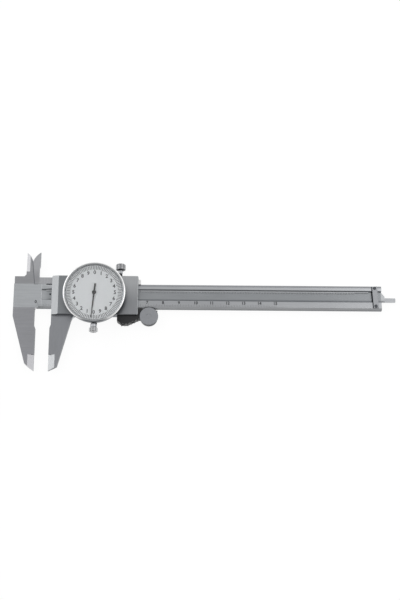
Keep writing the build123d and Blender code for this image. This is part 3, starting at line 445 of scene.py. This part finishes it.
# Martensitic stainless steel, surface-ground along the beam. It gives a soft sheen with fine
# lines along X.
ground_stainless_beam = steel(
    "ground_stainless_beam", beam_zones, 0.34, (14, 0.4, 0.4), 0.05)

# The same steel on the slider, satin-finished across the beam with a finer belt, which gives a
# duller, darker grey
satin_stainless_slider = steel(
    "satin_stainless_slider", slider_zones, 0.38, (0.5, 9, 0.5), 0.04)

# Stamped stainless sheet, ground flat, for plates and the bracket: plain grey with lines along X
ground_stainless_plate = steel("ground_stainless_plate", "#bcbec1", 0.36, (8, 0.5, 0.5))

# Bright-drawn steel bar, for the depth rod and the screws' necks: long draw lines and a quiet
# shine
bright_drawn_steel = steel("bright_drawn_steel", "#a7a9ac", 0.3, (10, 0.3, 0.3))

# Hardened steel, hobbed and kept under a film of oil, for the rack: dull grey, with a painted
# highlight on the teeth
oiled_rack_steel = steel("oiled_rack_steel", rack_zones, 0.42, (10, 0.3, 0.3))

# Hardened strip, burnished by the screws that press on it, for the gib: the palest of the steels
burnished_gib_steel = steel("burnished_gib_steel", "#ffffff", 0.3, (6, 0.3, 0.3), 0.04)

# Sheet blanked and tumbled with ceramic chips, for the end stop, which leaves it evenly grey
tumbled_steel = steel("tumbled_steel", stop_zones, 0.42, (0.7, 0.7, 0.7), 0.05)

# Turned stainless steel, for the clamp screw's knurled head: an even shine with fine marks
turned_stainless_knurl = steel("turned_stainless_knurl", "#b2b3b4", 0.3, (0.4, 0.4, 0.4))

# The same steel under smears of oil, for the lock screw's head: a patchy shine, with painted
# shade on its underside
oiled_stainless_knurl = steel(
    "oiled_stainless_knurl", lock_zones, 0.3, (0.9, 0.9, 0.9), 0.35)

# The same steel where a die cut a thread or a knurl is rolled: dark, with old oil and painted
# shade in the hollows
threaded_steel = steel("threaded_steel", "#3c3e42", 0.36, (0.4, 0.4, 0.4))

# Steel blasted with fine beads, for the roller and its pin: an even, dull grey, with painted
# shade on the roller's sides
bead_blasted_steel = steel("bead_blasted_steel", roller_zones, 0.42, (0.6, 0.6, 0.6), 0.06)

# Burnished carbon steel, heat-blackened and oiled, for the small slotted screws: a dark gloss
burnished_screw_steel = steel("burnished_screw_steel", "#56585c", 0.35, (0.4, 0.4, 0.4))

# Pressed steel for the dial case, painted dark grey as the shade under the bezel
shade_dark_case_steel = steel("shade_dark_case_steel", "#5d6063", 0.45, (0.8, 0.8, 0.8))

# Hardened steel, lapped and polished, for arbors and pins: smooth and bright
lapped_arbor_steel = steel("lapped_arbor_steel", "#c4c5c8", 0.2, (0.5, 0.5, 0.5), 0.03)

# Rolled brass, milled and then brushed, for the wheels and the bridge: warm yellow with fine lines
brushed_clock_brass = steel("brushed_clock_brass", "#cfae68", 0.3, (5, 0.3, 0.3))

# Spring strip tempered to blue, which gives a dark blue-grey gloss
blued_spring_steel = steel("blued_spring_steel", "#4a5268", 0.26, (1.5, 0.3, 0.3))

# Steel under satin chrome plating, turned, for the bezel: a clean cold white metal, with
# painted shade on its near side, outer wall and lip
satin_chrome_bezel = steel("satin_chrome_bezel", bezel_zones, 0.24, (0.8, 0.8, 0.3), 0.03)

# The same plating on the coin edge, painted dark as the shade among its ribs
ribbed_chrome_edge = steel("ribbed_chrome_edge", CHROME_IN_SHADE, 0.3, (0.5, 0.5, 0.5), 0.05)


def coated(name, colour, roughness, grain, unevenness, depth):
    """Painted or printed surface, with the size and the depth of its grain in mm. unevenness is
    how much the grains differ in tone."""
    material, tree, surface = new_material(name)
    place = add(tree, "ShaderNodeTexCoord").outputs["Object"]
    noise = add(tree, "ShaderNodeTexNoise", inputs={
        "Vector": place, "Scale": 1 / (grain * MM), "Detail": 2.0})
    tone = add(tree, "ShaderNodeMapRange", inputs={
        "Value": noise.outputs["Fac"], "From Min": 0.3, "From Max": 0.7,
        "To Min": 1 - unevenness, "To Max": 1 + unevenness})
    shade = add(tree, "ShaderNodeMix", {"data_type": "RGBA", "blend_type": "MULTIPLY"}, {
        0: 1.0, 6: linear(colour), 7: tone.outputs["Result"]})
    relief = add(tree, "ShaderNodeBump", inputs={
        "Height": noise.outputs["Fac"], "Strength": 0.4, "Distance": depth * MM})
    body = add(tree, "ShaderNodeBsdfPrincipled", inputs={
        "Base Color": shade.outputs[2], "Roughness": roughness, "IOR": 1.5,
        "Normal": relief.outputs["Normal"]})
    tree.links.new(body.outputs["BSDF"], surface)
    return material


# Die-cast zinc under baked black enamel, for the thumb rest: a soft gloss broken by orange-peel
black_enamelled_zinc = coated("black_enamelled_zinc", "#232325", 0.45, 0.8, 0.15, 0.03)

# Aluminium sprayed matt white, for the dial, which looks chalky and a little cold
matt_painted_dial = coated("matt_painted_dial", "#e3e6e8", 0.6, 0.5, 0.012, 0.004)

# Black ink, pad-printed on the dial: matt and slightly grey
black_printing_ink = coated("black_printing_ink", "#313337", 0.55, 0.3, 0.1, 0.004)

# The same ink, filled into the beam's etched marks and worn a little paler
etched_mark_ink = coated("etched_mark_ink", "#3c3e41", 0.5, 0.3, 0.15, 0.004)

# Brass under black lacquer, for the pointer: the deepest black, with a faint gloss
black_lacquered_brass = coated("black_lacquered_brass", "#1f2023", 0.4, 0.3, 0.08, 0.003)


def watch_crystal():
    """Clear cast acrylic, polished: it adds a faint gloss, and lets lamps through to the dial."""
    material, tree, surface = new_material("polished_acrylic_crystal")
    place = add(tree, "ShaderNodeTexCoord").outputs["Object"]
    noise = add(tree, "ShaderNodeTexNoise", inputs={
        "Vector": place, "Scale": 1 / (HAZE_SIZE * MM)})
    haze = add(tree, "ShaderNodeMapRange", inputs={
        "Value": noise.outputs["Fac"], "To Min": 0.0, "To Max": 0.02})
    pane = add(tree, "ShaderNodeBsdfPrincipled", inputs={
        "Base Color": linear("#ffffff"), "Roughness": haze.outputs["Result"], "IOR": 1.49,
        "Transmission Weight": 1.0})
    clear = add(tree, "ShaderNodeBsdfTransparent", inputs={"Color": linear("#fdfdfd")})
    ray = add(tree, "ShaderNodeLightPath")
    mixed = add(tree, "ShaderNodeMixShader", inputs={
        0: ray.outputs["Is Shadow Ray"], 1: pane.outputs["BSDF"], 2: clear.outputs["BSDF"]})
    tree.links.new(mixed.outputs["Shader"], surface)
    return material


polished_acrylic_crystal = watch_crystal()

NODE_FINISHES = {
    "beam": ground_stainless_beam,
    "rack": oiled_rack_steel,
    "end_stop": tumbled_steel,
    "end_stop_screws": burnished_screw_steel,
    "slider_frame": satin_stainless_slider,
    "back_plate": ground_stainless_plate,
    "back_plate_screws": burnished_screw_steel,
    "gib_strip": burnished_gib_steel,
    "gib_screws": burnished_screw_steel,
    "depth_rod": bright_drawn_steel,
    "rod_pin": lapped_arbor_steel,
    "thumb_rest": black_enamelled_zinc,
    "thumb_rest_screws": burnished_screw_steel,
    "roller_pin": bead_blasted_steel,
    "thumb_roller": bead_blasted_steel,
    "lock_screw": turned_stainless_knurl,
    "dial_case": shade_dark_case_steel,
    "case_screws": burnished_screw_steel,
    "movement_bridge": brushed_clock_brass,
    "bridge_screws": burnished_screw_steel,
    "rack_arbor": lapped_arbor_steel,
    "drive_wheel": brushed_clock_brass,
    "take_up_wheel": brushed_clock_brass,
    "take_up_arbor": lapped_arbor_steel,
    "hairspring": blued_spring_steel,
    "centre_arbor": lapped_arbor_steel,
    "pointer": black_lacquered_brass,
    "bezel_ring": satin_chrome_bezel,
    "snap_ring": blued_spring_steel,
    "dial_face": matt_painted_dial,
    "crystal": polished_acrylic_crystal,
    "clamp_bracket": ground_stainless_plate,
    "clamp_screw": turned_stainless_knurl,
}
for node_name, finish in NODE_FINISHES.items():
    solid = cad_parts[node_name]
    solid.data.materials.clear()
    solid.data.materials.append(finish)


def keep(name, mesh, finish):
    """Plain object at the origin for a finished mesh."""
    mesh.name = name
    mesh.materials.clear()
    mesh.materials.append(finish)
    piece = bpy.data.objects.new(name, mesh)
    bpy.context.scene.collection.objects.link(piece)
    return piece


def new_tree(name, sizes):
    """Geometry tree with a named input for each size, and one for the finish."""
    tree = bpy.data.node_groups.new(name, "GeometryNodeTree")
    tree.interface.new_socket("Geometry", in_out="OUTPUT", socket_type="NodeSocketGeometry")
    tree.interface.new_socket("Count", in_out="INPUT", socket_type="NodeSocketInt")
    for size in sizes:
        tree.interface.new_socket(size, in_out="INPUT", socket_type="NodeSocketFloat")
    tree.interface.new_socket("Finish", in_out="INPUT", socket_type="NodeSocketMaterial")
    return tree, add(tree, "NodeGroupInput").outputs


def close_tree(tree, given, points, shape, scale, turn=(0, 0, 0)):
    """End of a tree: a shape on each point, made real, with its finish."""
    inputs = {"Points": points, "Instance": shape, "Scale": scale, "Rotation": turn}
    placed = add(tree, "GeometryNodeInstanceOnPoints", inputs=inputs)
    real = add(tree, "GeometryNodeRealizeInstances", inputs={"Geometry": placed.outputs["Instances"]})
    done = add(tree, "GeometryNodeSetMaterial", inputs={
        "Geometry": real.outputs["Geometry"], "Material": given["Finish"]})
    add(tree, "NodeGroupOutput", inputs={"Geometry": done.outputs["Geometry"]})


def mark_length(tree, given):
    """Length of the mark with this index: each tenth is long, each fifth middling."""
    index = add(tree, "GeometryNodeInputIndex").outputs["Index"]
    chosen = given["Short"]
    for every, size in ((5, "Middle"), (10, "Long")):
        rest = add(tree, "ShaderNodeMath", {"operation": "MODULO"}, {0: index, 1: every})
        due = add(tree, "ShaderNodeMath", {"operation": "LESS_THAN"}, {
            0: rest.outputs["Value"], 1: 0.5})
        chosen = add(tree, "GeometryNodeSwitch", {"input_type": "FLOAT"}, {
            "Switch": due.outputs["Value"], "False": chosen, "True": given[size]}).outputs["Output"]
    return index, chosen


def straight_scale_tree():
    """Marks along X that stand on the line y = 0."""
    tree, given = new_tree("straight_scale", ("Pitch", "Width", "Short", "Middle", "Long", "Thickness"))
    index, length = mark_length(tree, given)
    step = add(tree, "ShaderNodeCombineXYZ", inputs={"X": given["Pitch"]})
    row = add(tree, "GeometryNodeMeshLine", inputs={
        "Count": given["Count"], "Offset": step.outputs["Vector"]})
    half = add(tree, "ShaderNodeMath", {"operation": "MULTIPLY"}, {0: length, 1: 0.5})
    rise = add(tree, "ShaderNodeCombineXYZ", inputs={"Y": half.outputs["Value"]})
    raised = add(tree, "GeometryNodeSetPosition", inputs={
        "Geometry": row.outputs["Mesh"], "Offset": rise.outputs["Vector"]})
    bar = add(tree, "GeometryNodeMeshCube")
    size = add(tree, "ShaderNodeCombineXYZ", inputs={
        "X": given["Width"], "Y": length, "Z": given["Thickness"]})
    close_tree(tree, given, raised.outputs["Geometry"], bar.outputs["Mesh"], size.outputs["Vector"])
    return tree


def round_place(tree, given, index, radius):
    """Place on a circle and turn about Z for each index, clockwise from +Y."""
    share = add(tree, "ShaderNodeMath", {"operation": "DIVIDE"}, {0: index, 1: given["Count"]})
    angle = add(tree, "ShaderNodeMath", {"operation": "MULTIPLY"}, {
        0: share.outputs["Value"], 1: -2 * math.pi}).outputs["Value"]
    turn = add(tree, "ShaderNodeCombineXYZ", inputs={"Z": angle}).outputs["Vector"]
    reach = add(tree, "ShaderNodeCombineXYZ", inputs={"Y": radius}).outputs["Vector"]
    place = add(tree, "ShaderNodeVectorRotate", {"rotation_type": "Z_AXIS"}, {
        "Vector": reach, "Angle": angle}).outputs["Vector"]
    return place, turn


def round_scale_tree():
    """Marks around Z that end on a circle."""
    tree, given = new_tree("round_scale", ("Radius", "Width", "Short", "Middle", "Long", "Thickness"))
    index, length = mark_length(tree, given)
    half = add(tree, "ShaderNodeMath", {"operation": "MULTIPLY"}, {0: length, 1: 0.5})
    middle = add(tree, "ShaderNodeMath", {"operation": "SUBTRACT"}, {
        0: given["Radius"], 1: half.outputs["Value"]})
    place, turn = round_place(tree, given, index, middle.outputs["Value"])
    row = add(tree, "GeometryNodeMeshLine", inputs={"Count": given["Count"]})
    ring = add(tree, "GeometryNodeSetPosition", inputs={
        "Geometry": row.outputs["Mesh"], "Position": place})
    bar = add(tree, "GeometryNodeMeshCube")
    size = add(tree, "ShaderNodeCombineXYZ", inputs={
        "X": given["Width"], "Y": length, "Z": given["Thickness"]})
    close_tree(tree, given, ring.outputs["Geometry"], bar.outputs["Mesh"], size.outputs["Vector"], turn)
    return tree


def knurl_tree():
    """Straight knurl around Z: four-sided ribs whose outer edge stands on a circle."""
    tree, given = new_tree("straight_knurl", ("Radius", "Width", "Length"))
    index = add(tree, "GeometryNodeInputIndex").outputs["Index"]
    place, turn = round_place(tree, given, index, given["Radius"])
    row = add(tree, "GeometryNodeMeshLine", inputs={"Count": given["Count"]})
    ring = add(tree, "GeometryNodeSetPosition", inputs={
        "Geometry": row.outputs["Mesh"], "Position": place})
    rib = add(tree, "GeometryNodeMeshCylinder", inputs={"Vertices": 4, "Radius": 0.5, "Depth": 1.0})
    size = add(tree, "ShaderNodeCombineXYZ", inputs={
        "X": given["Width"], "Y": given["Width"], "Z": given["Length"]})
    close_tree(tree, given, ring.outputs["Geometry"], rib.outputs["Mesh"], size.outputs["Vector"], turn)
    return tree


def grown(name, tree, count, sizes, finish, place):
    """What a tree makes at these sizes in mm, as a plain mesh at its place."""
    carrier = bpy.data.objects.new(name + "_carrier", bpy.data.meshes.new(name + "_carrier"))
    bpy.context.scene.collection.objects.link(carrier)
    modifier = carrier.modifiers.new("Grow", "NODES")
    modifier.node_group = tree
    values = {"Count": count, "Finish": finish}
    values.update({size: length * MM for size, length in sizes.items()})
    for socket in tree.interface.items_tree:
        if socket.in_out == "INPUT":
            modifier[socket.identifier] = values[socket.name]
    depsgraph = bpy.context.evaluated_depsgraph_get()
    mesh = bpy.data.meshes.new_from_object(carrier.evaluated_get(depsgraph), depsgraph=depsgraph)
    bpy.data.objects.remove(carrier)
    mesh.transform(place)
    return keep(name, mesh, finish)


def printed_figures(name, figures, height, weight, finish):
    """Figures as thin print, from the text and the centre of each. Lengths are in mm, and
    weight is how much wider the strokes are on each side."""
    joined = bmesh.new()
    for text, x, y, z in figures:
        curve = bpy.data.curves.new("figure", "FONT")
        curve.body = text
        curve.size = height / FIGURE_SHARE * MM
        curve.align_x = "CENTER"
        curve.align_y = "CENTER"
        curve.extrude = PRINT_THICKNESS / 2 * MM
        curve.offset = weight * MM
        curve.resolution_u = 3
        holder = bpy.data.objects.new("figure", curve)
        mesh = bpy.data.meshes.new_from_object(holder)
        mesh.transform(Matrix.Translation(at(x, y, z)))
        joined.from_mesh(mesh)
        bpy.data.objects.remove(holder)
    made = bpy.data.meshes.new(name)
    joined.to_mesh(made)
    joined.free()
    return keep(name, made, finish)


def turned_piece(name, profile, place, finish, steps=48):
    """Piece turned about Z from its profile of (radius, height) in mm, then set in its place."""
    shape = bmesh.new()
    outline = [shape.verts.new((radius * MM, 0, z * MM)) for radius, z in profile]
    edges = [shape.edges.new(pair) for pair in zip(outline, outline[1:])]
    bmesh.ops.spin(shape, geom=outline + edges, axis=(0, 0, 1), cent=(0, 0, 0),
                   angle=2 * math.pi, steps=steps, use_merge=True)
    bmesh.ops.remove_doubles(shape, verts=shape.verts, dist=0.001 * MM)
    bmesh.ops.recalc_face_normals(shape, faces=shape.faces)
    mesh = bpy.data.meshes.new(name)
    shape.to_mesh(mesh)
    shape.free()
    mesh.transform(place)
    return keep(name, mesh, finish)


def along_y(x, y, z, way):
    """Place that turns Z to +Y or, with way -1, to -Y, at a point in mm."""
    return Matrix.Translation(at(x, y, z)) @ Matrix.Rotation(math.radians(-90 * way), 4, "X")


# Millimetre scale etched along the lower land of the beam, with its figures in centimetres
beam_scale = grown(
    "beam_scale_marks",
    straight_scale_tree(),
    SCALE_LENGTH + 1,
    {"Pitch": 1, "Width": 0.12, "Short": 1.2, "Middle": 1.6, "Long": 2.0,
     "Thickness": PRINT_THICKNESS},
    etched_mark_ink,
    Matrix.Translation(at(SCALE_ZERO_X, -HALF_BEAM + BEVEL_ACROSS + 0.1, BEAM_FACE_Z)),
)
beam_figures = printed_figures(
    "beam_scale_figures",
    [(str(cm), SCALE_ZERO_X + 10 * cm - (1.0 if cm < 10 else 0.4), SCALE_FIGURE_Y, BEAM_FACE_Z)
     for cm in range(SCALE_LENGTH // 10 + 1)],
    height=1.9,
    weight=0.1,
    finish=etched_mark_ink,
)
for piece in (beam_scale, beam_figures):
    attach(piece, "beam")

# Dial marks, and the figures for tenths of a millimetre, twice round
dial_marks = grown(
    "dial_marks",
    round_scale_tree(),
    DIAL_MARKS,
    {"Radius": DIAL_MARK_RADIUS, "Width": 0.34, "Short": 2.2, "Middle": 2.5, "Long": 2.7,
     "Thickness": PRINT_THICKNESS},
    black_printing_ink,
    Matrix.Translation(at(DIAL_X, 0, DIAL_TOP_Z)),
)
figure_step = 2 * math.pi / DIAL_FIGURES
dial_figures = printed_figures(
    "dial_figures",
    [(str(tenths % 10),
      DIAL_X + DIAL_FIGURE_RADIUS * math.sin(figure_step * tenths),
      DIAL_FIGURE_RADIUS * math.cos(figure_step * tenths),
      DIAL_TOP_Z)
     for tenths in range(DIAL_FIGURES)],
    height=2.3,
    weight=0.09,
    finish=black_printing_ink,
)
for piece in (dial_marks, dial_figures):
    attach(piece, "bezel")

# Domed cap over the pointer's hub
pointer_cap = turned_piece(
    "pointer_cap",
    [(0, POINTER_TOP_Z), (1.25, POINTER_TOP_Z), (1.2, POINTER_TOP_Z + 0.07),
     (0.8, POINTER_TOP_Z + 0.16), (0, POINTER_TOP_Z + 0.2)],
    Matrix.Translation(at(DIAL_X, 0, 0)), black_lacquered_brass,
)
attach(pointer_cap, "pointer")

# Bezel with its rounded rim and eased edges, in place of the plain ring
rim_round = [(BEZEL_RADIUS - RIM_ROUND + RIM_ROUND * math.cos(math.radians(angle)),
              BEZEL_TOP_Z - RIM_ROUND + RIM_ROUND * math.sin(math.radians(angle)))
             for angle in range(0, 91, 15)]
bezel_shell = turned_piece(
    "bezel_shell",
    [(17.95, 6.2), (18.8, 6.2), (18.95, 6.35), (18.95, 9.05), (19.05, 9.2), (19.25, 9.2),
     (19.42, 9.37), (19.42, 10.3), (BEZEL_RADIUS, 10.35)] + rim_round
    + [(18.45, BEZEL_TOP_Z), (18.1, 11.12), (18.02, 10.97), (18.42, 10.97), (18.42, 10.45),
       (18.0, 10.45), (17.9, 10.35),
       (17.35, DIAL_TOP_Z), (17.95, DIAL_TOP_Z), (17.95, 7.85), (18.35, 7.85), (18.35, 7.35),
       (17.95, 7.35), (17.95, 6.2)],
    Matrix.Translation(at(DIAL_X, 0, 0)), satin_chrome_bezel, steps=144,
)
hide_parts("bezel_ring")
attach(bezel_shell, "bezel")


def thread(radius, start, end):
    """Profile of a thread between two heights, as rings with the pitch of the real thread."""
    crests = int((end - start) / THREAD_PITCH)
    return [(radius - depth, start + THREAD_PITCH * (crest + part))
            for crest in range(crests)
            for part, depth in ((0, 0), (0.15, 0), (0.5, THREAD_DEPTH), (0.65, THREAD_DEPTH))]


def screw_shapes(name, length, neck_length, shank_radius, head_radius, head_length, finish, place):
    """Screw up to its head at a length along Z: the thread, a plain neck, and the head, eased
    and dished, with a core for its knurl."""
    neck_start = length - neck_length
    neck_radius = shank_radius + 0.1
    core = head_radius - KNURL_DEPTH
    top = length + head_length
    thread_piece = turned_piece(
        name + "_thread",
        [(0, 0), (shank_radius - 0.3, 0)] + thread(shank_radius, THREAD_START, neck_start)
        + [(shank_radius - THREAD_DEPTH, neck_start), (0, neck_start)],
        place, threaded_steel, steps=32,
    )
    neck_piece = turned_piece(
        name + "_neck",
        [(0, neck_start), (neck_radius, neck_start), (neck_radius, length), (0, length)],
        place, bright_drawn_steel, steps=32,
    )
    head_piece = turned_piece(
        name + "_head",
        [(0, length), (core - 0.5, length), (core, length + HEAD_EDGE), (core, top - HEAD_EDGE),
         (core - HEAD_EDGE, top), (1.0, top), (0.75, top - 0.25), (0, top - 0.3)],
        place, finish,
    )
    return thread_piece, neck_piece, head_piece


# Both knurled screws with their threads and eased heads
screws = (
    ("lock_screw", LOCK_HEAD_Y - LOCK_TIP_Y, LOCK_NECK_LENGTH, LOCK_SHANK_RADIUS,
     LOCK_HEAD_RADIUS, LOCK_HEAD_LENGTH, oiled_stainless_knurl,
     along_y(LOCK_SCREW_X, LOCK_TIP_Y, 0, 1)),
    ("clamp_screw", CLAMP_TIP_Y - CLAMP_HEAD_Y, CLAMP_NECK_LENGTH, CLAMP_SHANK_RADIUS,
     CLAMP_HEAD_RADIUS, CLAMP_HEAD_LENGTH, turned_stainless_knurl,
     along_y(DIAL_X, CLAMP_TIP_Y, CLAMP_Z, -1)),
)
for name, *sizes in screws:
    for shape in screw_shapes(name, *sizes):
        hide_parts(name)
        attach(shape, name)

# Knurls of the two screw heads, of the roller's rim and of the bezel's coin edge: name, body,
# finish, slot, count of ribs, radius, width and length of a rib, and place
knurl = knurl_tree()
knurls = (
    ("lock_screw_knurl", "lock_screw", oiled_stainless_knurl, "bright_steel", 26,
     LOCK_HEAD_RADIUS, 0.6, LOCK_HEAD_LENGTH - 0.8,
     along_y(LOCK_SCREW_X, LOCK_HEAD_Y + LOCK_HEAD_LENGTH / 2, 0, 1)),
    ("clamp_screw_knurl", "clamp_screw", turned_stainless_knurl, "bright_steel", 24,
     CLAMP_HEAD_RADIUS + 0.1, 0.5, CLAMP_HEAD_LENGTH - 0.8,
     along_y(DIAL_X, CLAMP_HEAD_Y - CLAMP_HEAD_LENGTH / 2, CLAMP_Z, 1)),
    ("roller_knurl", "roller", threaded_steel, "bright_steel", 80,
     ROLLER_RIM_RADIUS + 0.1, 0.34, ROLLER_RIM_THICKNESS - 0.4,
     Matrix.Translation(at(ROLLER_X, ROLLER_Y, ROLLER_RIM_Z + (ROLLER_RIM_THICKNESS - 0.3) / 2))),
    ("bezel_coin_edge", "bezel", ribbed_chrome_edge, "bezel_steel", 190,
     BEZEL_RADIUS, 0.46, COIN_EDGE_LENGTH, Matrix.Translation(at(DIAL_X, 0, COIN_EDGE_Z))),
)
for name, body, finish, slot, count, radius, width, length, place in knurls:
    ribs = grown(
        name, knurl, count, {"Radius": radius - width / 2, "Width": width, "Length": length},
        finish, place)
    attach(ribs, body)

# Small dark pin in the left end of the groove
groove_pin = turned_piece(
    "groove_pin",
    [(0, GROOVE_FLOOR_Z - 0.1), (0.6, GROOVE_FLOOR_Z - 0.1), (0.6, GROOVE_FLOOR_Z + 0.3),
     (0.45, GROOVE_FLOOR_Z + 0.4), (0, GROOVE_FLOOR_Z + 0.42)],
    Matrix.Translation(at(GROOVE_PIN_X, GROOVE_PIN_Y, 0)), burnished_screw_steel, steps=24,
)
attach(groove_pin, "beam")


def white_floor():
    """White seamless paper under the caliper. In the camera, and mirrored in metal or seen
    through glass, it glows white and keeps a faint shadow. It lights the caliper only as plain
    paper does."""
    material, tree, surface = new_material("white_seamless_paper")
    ray = add(tree, "ShaderNodeLightPath")
    seen = add(tree, "ShaderNodeMath", {"operation": "MAXIMUM"}, {
        0: ray.outputs["Is Camera Ray"], 1: ray.outputs["Is Glossy Ray"]})
    seen = add(tree, "ShaderNodeMath", {"operation": "MAXIMUM"}, {
        0: seen.outputs["Value"], 1: ray.outputs["Is Transmission Ray"]})
    share = add(tree, "ShaderNodeMath", {"operation": "MULTIPLY"}, {
        0: seen.outputs["Value"], 1: GLOW_SHARE})
    paper = add(tree, "ShaderNodeBsdfDiffuse", inputs={"Color": linear("#f4f4f4")})
    glow = add(tree, "ShaderNodeEmission", inputs={
        "Color": linear("#ffffff"), "Strength": GLOW_STRENGTH})
    mixed = add(tree, "ShaderNodeMixShader", inputs={
        0: share.outputs["Value"], 1: paper.outputs["BSDF"], 2: glow.outputs["Emission"]})
    tree.links.new(mixed.outputs["Shader"], surface)
    return material


floor_mesh = bpy.data.meshes.new("floor")
floor_z = cad_low.z - FLOOR_GAP * MM
floor_mesh.from_pydata(
    [(x * FLOOR_REACH, y * FLOOR_REACH, floor_z) for x, y in ((-1, -1), (1, -1), (1, 1), (-1, 1))],
    [], [(0, 1, 2, 3)])
floor = keep("floor", floor_mesh, white_floor())

# World: an even studio room, darker overhead and much darker on the side of the jaws' tips
world = bpy.data.worlds.new("studio")
bpy.context.scene.world = world
world.use_nodes = True
sky = world.node_tree
sky.nodes.clear()
direction = add(sky, "ShaderNodeTexCoord").outputs["Generated"]
parts = add(sky, "ShaderNodeSeparateXYZ", inputs={"Vector": direction})
level = add(sky, "ShaderNodeMapRange", inputs={
    "Value": parts.outputs["Z"], "From Min": 0.1, "From Max": 0.8, "To Min": 0.95, "To Max": 0.66})
near = add(sky, "ShaderNodeMapRange", inputs={
    "Value": parts.outputs["Y"], "From Min": -0.8, "From Max": -0.3, "To Min": 0.4, "To Max": 1.0})
strength = add(sky, "ShaderNodeMath", {"operation": "MULTIPLY"}, {
    0: level.outputs["Result"], 1: near.outputs["Result"]})
backdrop = add(sky, "ShaderNodeBackground", inputs={
    "Color": linear("#ffffff"), "Strength": strength.outputs["Value"]})
add(sky, "ShaderNodeOutputWorld", inputs={"Surface": backdrop.outputs["Background"]})


def softbox(name, place, target, width, height, level):
    """Area lamp, its lengths in metres, whose face has this brightness, where 1 is white."""
    lamp = bpy.data.lights.new(name, "AREA")
    lamp.shape = "RECTANGLE"
    lamp.size = width
    lamp.size_y = height
    lamp.energy = level * math.pi * width * height
    holder = bpy.data.objects.new(name, lamp)
    bpy.context.scene.collection.objects.link(holder)
    holder.location = place
    holder.rotation_euler = (Vector(target) - Vector(place)).to_track_quat("-Z", "Y").to_euler()
    return holder


softbox("left_softbox", (-0.47, 0.33, 0.50), (0.06, 0.03, 0), 0.5, 0.5, 1.1)
softbox("right_softbox", (0.56, 0.20, 0.70), (0.12, 0.03, 0), 0.4, 0.6, 1.05)

# Camera above the beam, leaning a little towards the jaws' tips. LENS_PIXELS is its focal
# length and FRAME_PIXELS the picture's longer side.
LENS_PIXELS = 1262
FRAME_PIXELS = 600
SENSOR = 36
TILT = math.radians(16.5)
PAN = math.radians(-0.252)
ROLL = math.radians(0.38)
DISTANCE = 794
look_at = at(103.0, -2.11, BEAM_FACE_Z)
tilted = Matrix.Rotation(PAN, 3, "Y") @ Matrix.Rotation(TILT, 3, "X") @ Matrix.Rotation(ROLL, 3, "Z")
camera = bpy.data.cameras.new("camera")
camera.sensor_width = SENSOR
camera.lens = LENS_PIXELS * SENSOR / FRAME_PIXELS
camera.clip_start = 0.05
camera.clip_end = 20
viewer = bpy.data.objects.new("camera", camera)
bpy.context.scene.collection.objects.link(viewer)
viewer.matrix_world = Matrix.Translation(look_at + tilted.col[2] * DISTANCE * MM) @ tilted.to_4x4()
bpy.context.scene.camera = viewer

bpy.context.scene.view_settings.view_transform = "Standard"
